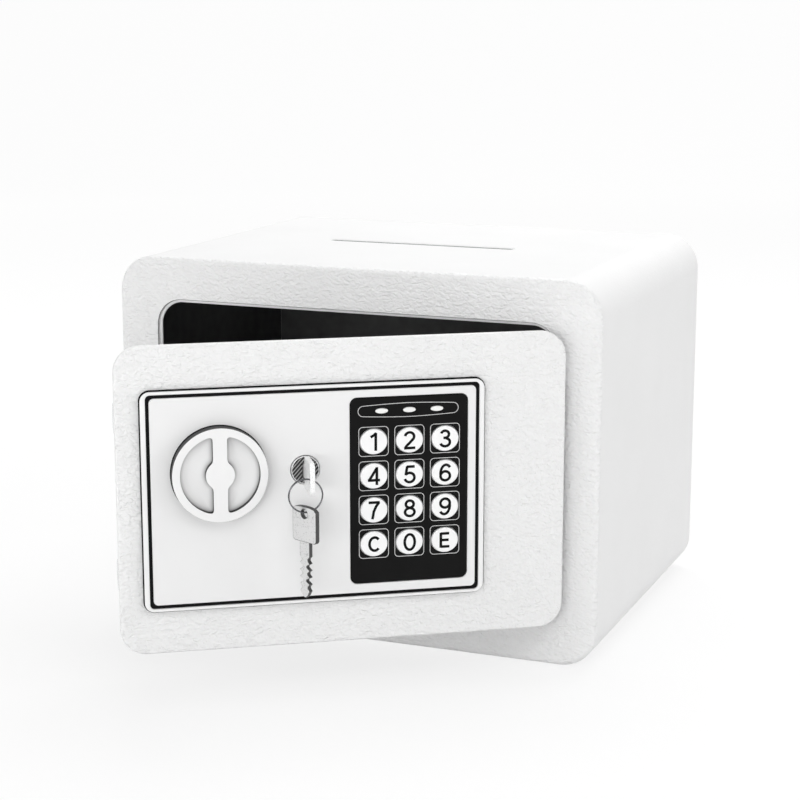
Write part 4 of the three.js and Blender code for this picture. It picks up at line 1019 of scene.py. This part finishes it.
def make_knob():
    solid = Solid()
    rim = disc(KNOB, KNOB_RADIUS, 128)
    rings = [solid.ring(rim(inset), y) for inset, y in rounded(KNOB_FRONT, KNOB_BACK, *KNOB_ROUNDS)]
    solid.skin(rings[:KNOB_EDGE_ROWS + 1])
    # Past the first rows of the rim's round, the knob's side wall takes the painted shade colour
    solid.skin(rings[KNOB_EDGE_ROWS:], 1)
    solid.cap([rings[-1]])

    floor = KNOB_FRONT + POCKET_WALL
    edge = [(-inset, KNOB_FRONT + depth) for inset, depth in quarter(POCKET_EDGE, 4)]
    sunk = [(0.0, floor)]
    for share in spread(0.0, 0.96, 16)[1:]:
        deep = 1 - (1 - share) ** POCKET_CURVE
        sunk.append((share * POCKET_REACH, floor + (POCKET_DEPTH - POCKET_WALL) * deep))
    tops = [rings[0]]
    for side in (-1, 1):
        outline = pocket(side)
        upper, lower = ([solid.ring(outline(inset), y) for inset, y in rows] for rows in (edge, sunk))
        solid.skin(upper)
        # Each pocket's steep wall takes the painted shade colour
        solid.bridge(upper[-1], lower[0], 1)
        solid.skin(lower, 2)
        solid.cap(lower[-1:], 2)
        tops.append(upper[0])
    solid.cap(tops)
    bowl_shade_coat = pocket_shade_coat("pocket_shade_coat", floor, KNOB_FRONT + POCKET_DEPTH)
    dress("turn_knob", solid, SWUNG, [KNOB_COAT, KNOB_WALL_SHADE, bowl_shade_coat], "knob", "satin_white")

    # A thin dark ring printed on the panel round the knob: a painted shadow gap
    seat = Solid()
    add_outline_print(seat, disc(KNOB, KNOB_RADIUS + 0.1, 128), SHADOW_RING_WIDTH, FACE_FRONT)
    add("knob_shadow_ring", seat, SWUNG, TRAY_PLASTIC, "door", "dark_plastic", weighted=False)


# Key lock

def make_lock():
    neck, barrel, bore = (disc(LOCK, radius, 64) for radius in (NECK_RADIUS, BARREL_RADIUS, LOCK_BORE))
    housing = Solid()
    add_plate(housing, neck, [bore], NECK_FRONT, NECK_BACK, (0.3, 0.02), (0.15, 0.02))
    add_plate(housing, barrel, [bore], BARREL_FRONT, BARREL_BACK, (0.3, 0.3), BORE_ROUNDS)
    dress("lock_housing", housing, SWUNG, [LOCK_METAL], "door", "zinc_steel")

    keyway = rect(*around(*LOCK, *KEYWAY_HALF), 0.25, 4)
    tail = PLUG_BACK - 1.0
    side, head = disc(LOCK, PLUG_RADIUS, 64), disc(LOCK, HEAD_RADIUS, 64)
    plug = Solid()
    add_plate(plug, side, [keyway], NECK_FRONT, tail, (0.3, 0.02), (0.12, 0.02), (1, 0, 0))
    add_plate(plug, side, [], tail, PLUG_BACK, (0.0, 0.2))
    add_plate(plug, head, [keyway], HEAD_FRONT, HEAD_BACK, (0.1, 0.02), (0.08, 0.02), (1, 1, 0))
    dress("lock_plug", plug, SWUNG, [LOCK_METAL, PLUG_FACE], "plug", "zinc_steel")


# Keys on their ring. Their outlines are (length, width) points: the lock's face is at 0, the crown lowest

def mirrored(upper, shared=0):
    """An outline from its upper half, whose last points may lie on the line between the halves."""
    return upper + [(a, -b) for a, b in reversed(upper[:len(upper) - shared])]


def bow_outline(inset=0.0):
    half, soft, corner = BOW_WIDTH / 2, BOW_SHOULDER, BOW_CORNER
    low = -SHANK_SHOWN
    high = low - BOW_LENGTH + BOW_CROWN
    upper = arc(low - soft, half - soft, soft - inset, soft - inset, 0, 90, 6)
    upper += arc(high + corner, half - corner, corner - inset, corner - inset, 90, 171, 6)
    upper += arc(high, 0, BOW_CROWN - inset, half - corner, 108, 180, 8)
    return mirrored(upper, 1)


def blade_outline(inset=0.0):
    """The bitting, cut alike on both edges of the blade."""
    half = BLADE_WIDTH / 2 - inset
    pitch = (BLADE_LENGTH - 2 * BLADE_PLAIN) / len(BLADE_CUTS)
    upper = [(-SHANK_SHOWN - BLADE_ROOT, half)]
    for i, depth in enumerate(BLADE_CUTS):
        start = BLADE_PLAIN + pitch * i
        upper += [(start, half), (start + pitch * 0.36, half - depth), (start + pitch * 0.64, half - depth)]
    upper += [
        (BLADE_LENGTH - BLADE_PLAIN, half - 0.1),
        (BLADE_LENGTH - BLADE_TIP, half * 0.55),
        (BLADE_LENGTH - inset, half * 0.12),
    ]
    return mirrored(upper)


def key_solid():
    """A flat key whose thickness lies across X; its edges have a material of their own, for a painted shade
    or a painted highlight on them.
    """
    solid = Solid()
    hole = disc((-HOLE_REACH, 0), HOLE_RADIUS, 36)
    parts = ((bow_outline, [hole], BOW_THICK, 0.3), (blade_outline, [], BLADE_THICK, 0.22))
    for outline, holes, thick, soft in parts:
        half = thick / 2
        add_plate(solid, outline, holes, -half, half, (soft, soft), slots=(0, 1, 0), steps=4, axis="x")
    return solid


def make_keys_on_ring():
    in_lock = SWUNG @ Matrix.Translation((LOCK[0], KEY_FACE, LOCK[1]))
    # The lock key wears the lighter, painted-light copy of the key metal on its faces and edges
    dress("lock_key", key_solid(), in_lock, [KEY_METAL_LIT, KEY_METAL_LIT], "lock_key", "bright_steel")

    x, z = RING_CENTRE
    hung = SWUNG @ Matrix.Translation((x, HOLE_Y, z - RING_RADIUS - RING_DROP))
    hung = hung @ Matrix.Rotation(SPARE_TURN, 4, "Z") @ Matrix.Rotation(-math.pi / 2, 4, "X")
    hung = hung @ Matrix.Translation((0, HOLE_REACH, 0))
    # The spare key's edges are painted dark as shade
    dress("spare_key", key_solid(), hung, [KEY_METAL, KEY_EDGE_SHADE], "spare_key", "bright_steel")

    solid = Solid()
    rings = []
    for share in spread(0, 1, RING_STEPS):
        turn = RING_TURNS * 2 * math.pi * share
        rise = RING_RISE * math.tanh(6 * (share - 0.5))
        out = Vector((math.cos(turn), 0, math.sin(turn)))
        centre = Vector((x, HOLE_Y + rise, z)) + out * RING_RADIUS
        rings.append(solid.loop([
            tuple(centre + RING_WIRE * (out * math.cos(a) + Vector((0, math.sin(a), 0))))
            for a in spread(0, 2 * math.pi, 10)[:-1]
        ]))
    solid.skin(rings)
    for ring in (rings[0], rings[-1]):
        solid.face(tuple(ring))
    dress("key_ring", solid, SWUNG, [RING_METAL], "key_ring", "bright_steel", weighted=False, sharp=60)


# Bolts

def make_bolts():
    profile = [(BOLT_RADIUS - inset, x) for inset, x in rounded(BOLT_TIP, BOLT_TAIL, *BOLT_ROUNDS)]
    for name, z in BOLT_HEIGHTS.items():
        solid = Solid()
        add_rod(solid, profile, (BOLT_Y, z), "x", 72)
        dress(name, solid, SWUNG, [BRIGHT], "bolts", "bright_steel")


# CAD nodes that keep their own shape

def smooth_by_angle():
    """Nodes that shade a mesh smooth, but for the edges where its faces meet at a larger angle."""
    group = bpy.data.node_groups.new("smooth_by_angle", "GeometryNodeTree")
    for way in ("INPUT", "OUTPUT"):
        group.interface.new_socket("Geometry", in_out=way, socket_type="NodeSocketGeometry")
    nodes, links = group.nodes, group.links
    start, end = nodes.new("NodeGroupInput"), nodes.new("NodeGroupOutput")
    angle = nodes.new("GeometryNodeInputMeshEdgeAngle")
    compare = nodes.new("FunctionNodeCompare")
    compare.operation = "LESS_THAN"
    compare.inputs[1].default_value = SMOOTH_ANGLE
    faces, edges = nodes.new("GeometryNodeSetShadeSmooth"), nodes.new("GeometryNodeSetShadeSmooth")
    faces.domain, edges.domain = "FACE", "EDGE"
    links.new(start.outputs[0], faces.inputs["Geometry"])
    links.new(faces.outputs[0], edges.inputs["Geometry"])
    links.new(angle.outputs["Unsigned Angle"], compare.inputs[0])
    links.new(compare.outputs[0], edges.inputs["Shade Smooth"])
    links.new(edges.outputs[0], end.inputs[0])
    return group


def finish_nodes():
    chosen = {name: material for material, names in LOOKS.items() for name in names}
    for i in range(1, 5):
        low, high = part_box(f"battery_{i}")
        ends = (low[2], high[2]) if i % 2 else (high[2], low[2])
        chosen[f"battery_{i}"] = cell_wrap(f"cell_wrap_{i}", *ends)
    group = smooth_by_angle()
    for name, material in chosen.items():
        node = NODES[name]
        node.data.materials.clear()
        node.data.materials.append(material)
        weld = node.modifiers.new("weld", "WELD")
        weld.merge_threshold = WELD_REACH * MM
        bevel = node.modifiers.new("bevel", "BEVEL")
        bevel.width = SOFT_EDGES.get(name, SOFT_EDGE) * MM
        bevel.segments = 3
        bevel.limit_method = "ANGLE"
        bevel.angle_limit = BEVEL_ANGLE
        shade = node.modifiers.new("shade", "NODES")
        shade.node_group = group
        normals = node.modifiers.new("weighted", "WEIGHTED_NORMAL")
        normals.keep_sharp = True


# Stage, light and camera, with lengths in metres

def stage_material():
    """White paper: what the camera and reflections see of it is lifted to white, and keeps the shadow."""
    s = Shader("stage")
    path = s.node("ShaderNodeLightPath")
    first = s.node("ShaderNodeMath", operation="MAXIMUM")
    seen = s.node("ShaderNodeMath", operation="MAXIMUM")
    s.link(path.outputs["Is Camera Ray"], first.inputs[0])
    s.link(path.outputs["Is Glossy Ray"], first.inputs[1])
    s.link(first.outputs[0], seen.inputs[0])
    s.link(path.outputs["Is Transmission Ray"], seen.inputs[1])
    s.colour(s.ramp(s.mixed(s.noise(3, 2), seen.outputs[0], 0.02), (0.0, BOUNCE_TONE), (1.0, SEEN_TONE)))
    s.wear(40, 0.85, 0.95, 2)
    s.set(Specular_IOR_Level=0.0)
    far = s.node("ShaderNodeVectorMath", operation="LENGTH")
    s.link(s.place, far.inputs[0])
    glow = s.node("ShaderNodeMath", operation="MULTIPLY")
    s.link(s.range(far.outputs["Value"], NEAR_GLOW, FAR_GLOW, GLOW_START, GLOW_END), glow.inputs[0])
    s.link(seen.outputs[0], glow.inputs[1])
    s.surface.inputs["Emission Color"].default_value = (1, 1, 1, 1)
    s.link(glow.outputs[0], s.surface.inputs["Emission Strength"])
    return s.material


def make_stage():
    """A floor that sweeps up into a backdrop."""
    bend_rows = arc(FLOOR_BACK, FLOOR_Z + SWEEP_BEND, SWEEP_BEND, SWEEP_BEND, -90, 0, 14)
    profile = [(-FLOOR_HALF, FLOOR_Z), *bend_rows, (FLOOR_BACK + SWEEP_BEND, SWEEP_HEIGHT)]
    verts = [(x, y, z) for y, z in profile for x in (-FLOOR_HALF, FLOOR_HALF)]
    faces = [(2 * i, 2 * i + 1, 2 * i + 3, 2 * i + 2) for i in range(len(profile) - 1)]
    mesh = bpy.data.meshes.new("floor")
    mesh.from_pydata(verts, [], faces)
    mesh.polygons.foreach_set("use_smooth", [True] * len(faces))
    mesh.materials.append(stage_material())
    floor = bpy.data.objects.new("floor", mesh)
    bpy.context.scene.collection.objects.link(floor)


def area_light(name, spot, target, size, power):
    data = bpy.data.lights.new(name, "AREA")
    data.shape = "RECTANGLE"
    data.size, data.size_y = size
    data.energy = power
    lamp = bpy.data.objects.new(name, data)
    lamp.location = spot
    lamp.rotation_euler = (Vector(target) - Vector(spot)).to_track_quat("-Z", "Y").to_euler()
    bpy.context.scene.collection.objects.link(lamp)


def make_light():
    """A white room that gives less light than the camera sees in it, and the lamps."""
    world = bpy.data.worlds.new("studio")
    bpy.context.scene.world = world
    world.use_nodes = True
    tree = world.node_tree
    tree.nodes.clear()
    out = tree.nodes.new("ShaderNodeOutputWorld")
    back = tree.nodes.new("ShaderNodeBackground")
    path = tree.nodes.new("ShaderNodeLightPath")
    strength = tree.nodes.new("ShaderNodeMapRange")
    strength.inputs["To Min"].default_value = ROOM_LIGHT
    strength.inputs["To Max"].default_value = 1.0
    back.inputs["Color"].default_value = (1, 1, 1, 1)
    tree.links.new(path.outputs["Is Camera Ray"], strength.inputs["Value"])
    tree.links.new(strength.outputs["Result"], back.inputs["Strength"])
    tree.links.new(back.outputs[0], out.inputs["Surface"])
    for lamp in LAMPS:
        area_light(*lamp)


def make_camera():
    data = bpy.data.cameras.new("camera")
    data.sensor_fit = "HORIZONTAL"
    data.sensor_width = CAMERA_SENSOR
    data.lens = CAMERA_LENS
    data.clip_end = 30
    camera = bpy.data.objects.new("camera", data)
    camera.location = CAMERA_PLACE
    camera.rotation_euler = (math.radians(90 - CAMERA_DIP), 0, math.radians(CAMERA_TURN))
    bpy.context.scene.collection.objects.link(camera)
    bpy.context.scene.camera = camera


make_camera()
make_case()
make_front_frame()
make_back_plate()
make_door()
make_panel()
make_keypad()
make_keys()
make_knob()
make_lock()
make_keys_on_ring()
make_bolts()
finish_nodes()
make_stage()
make_light()
bpy.context.scene.view_settings.view_transform = "Standard"
bpy.context.view_layer.update()
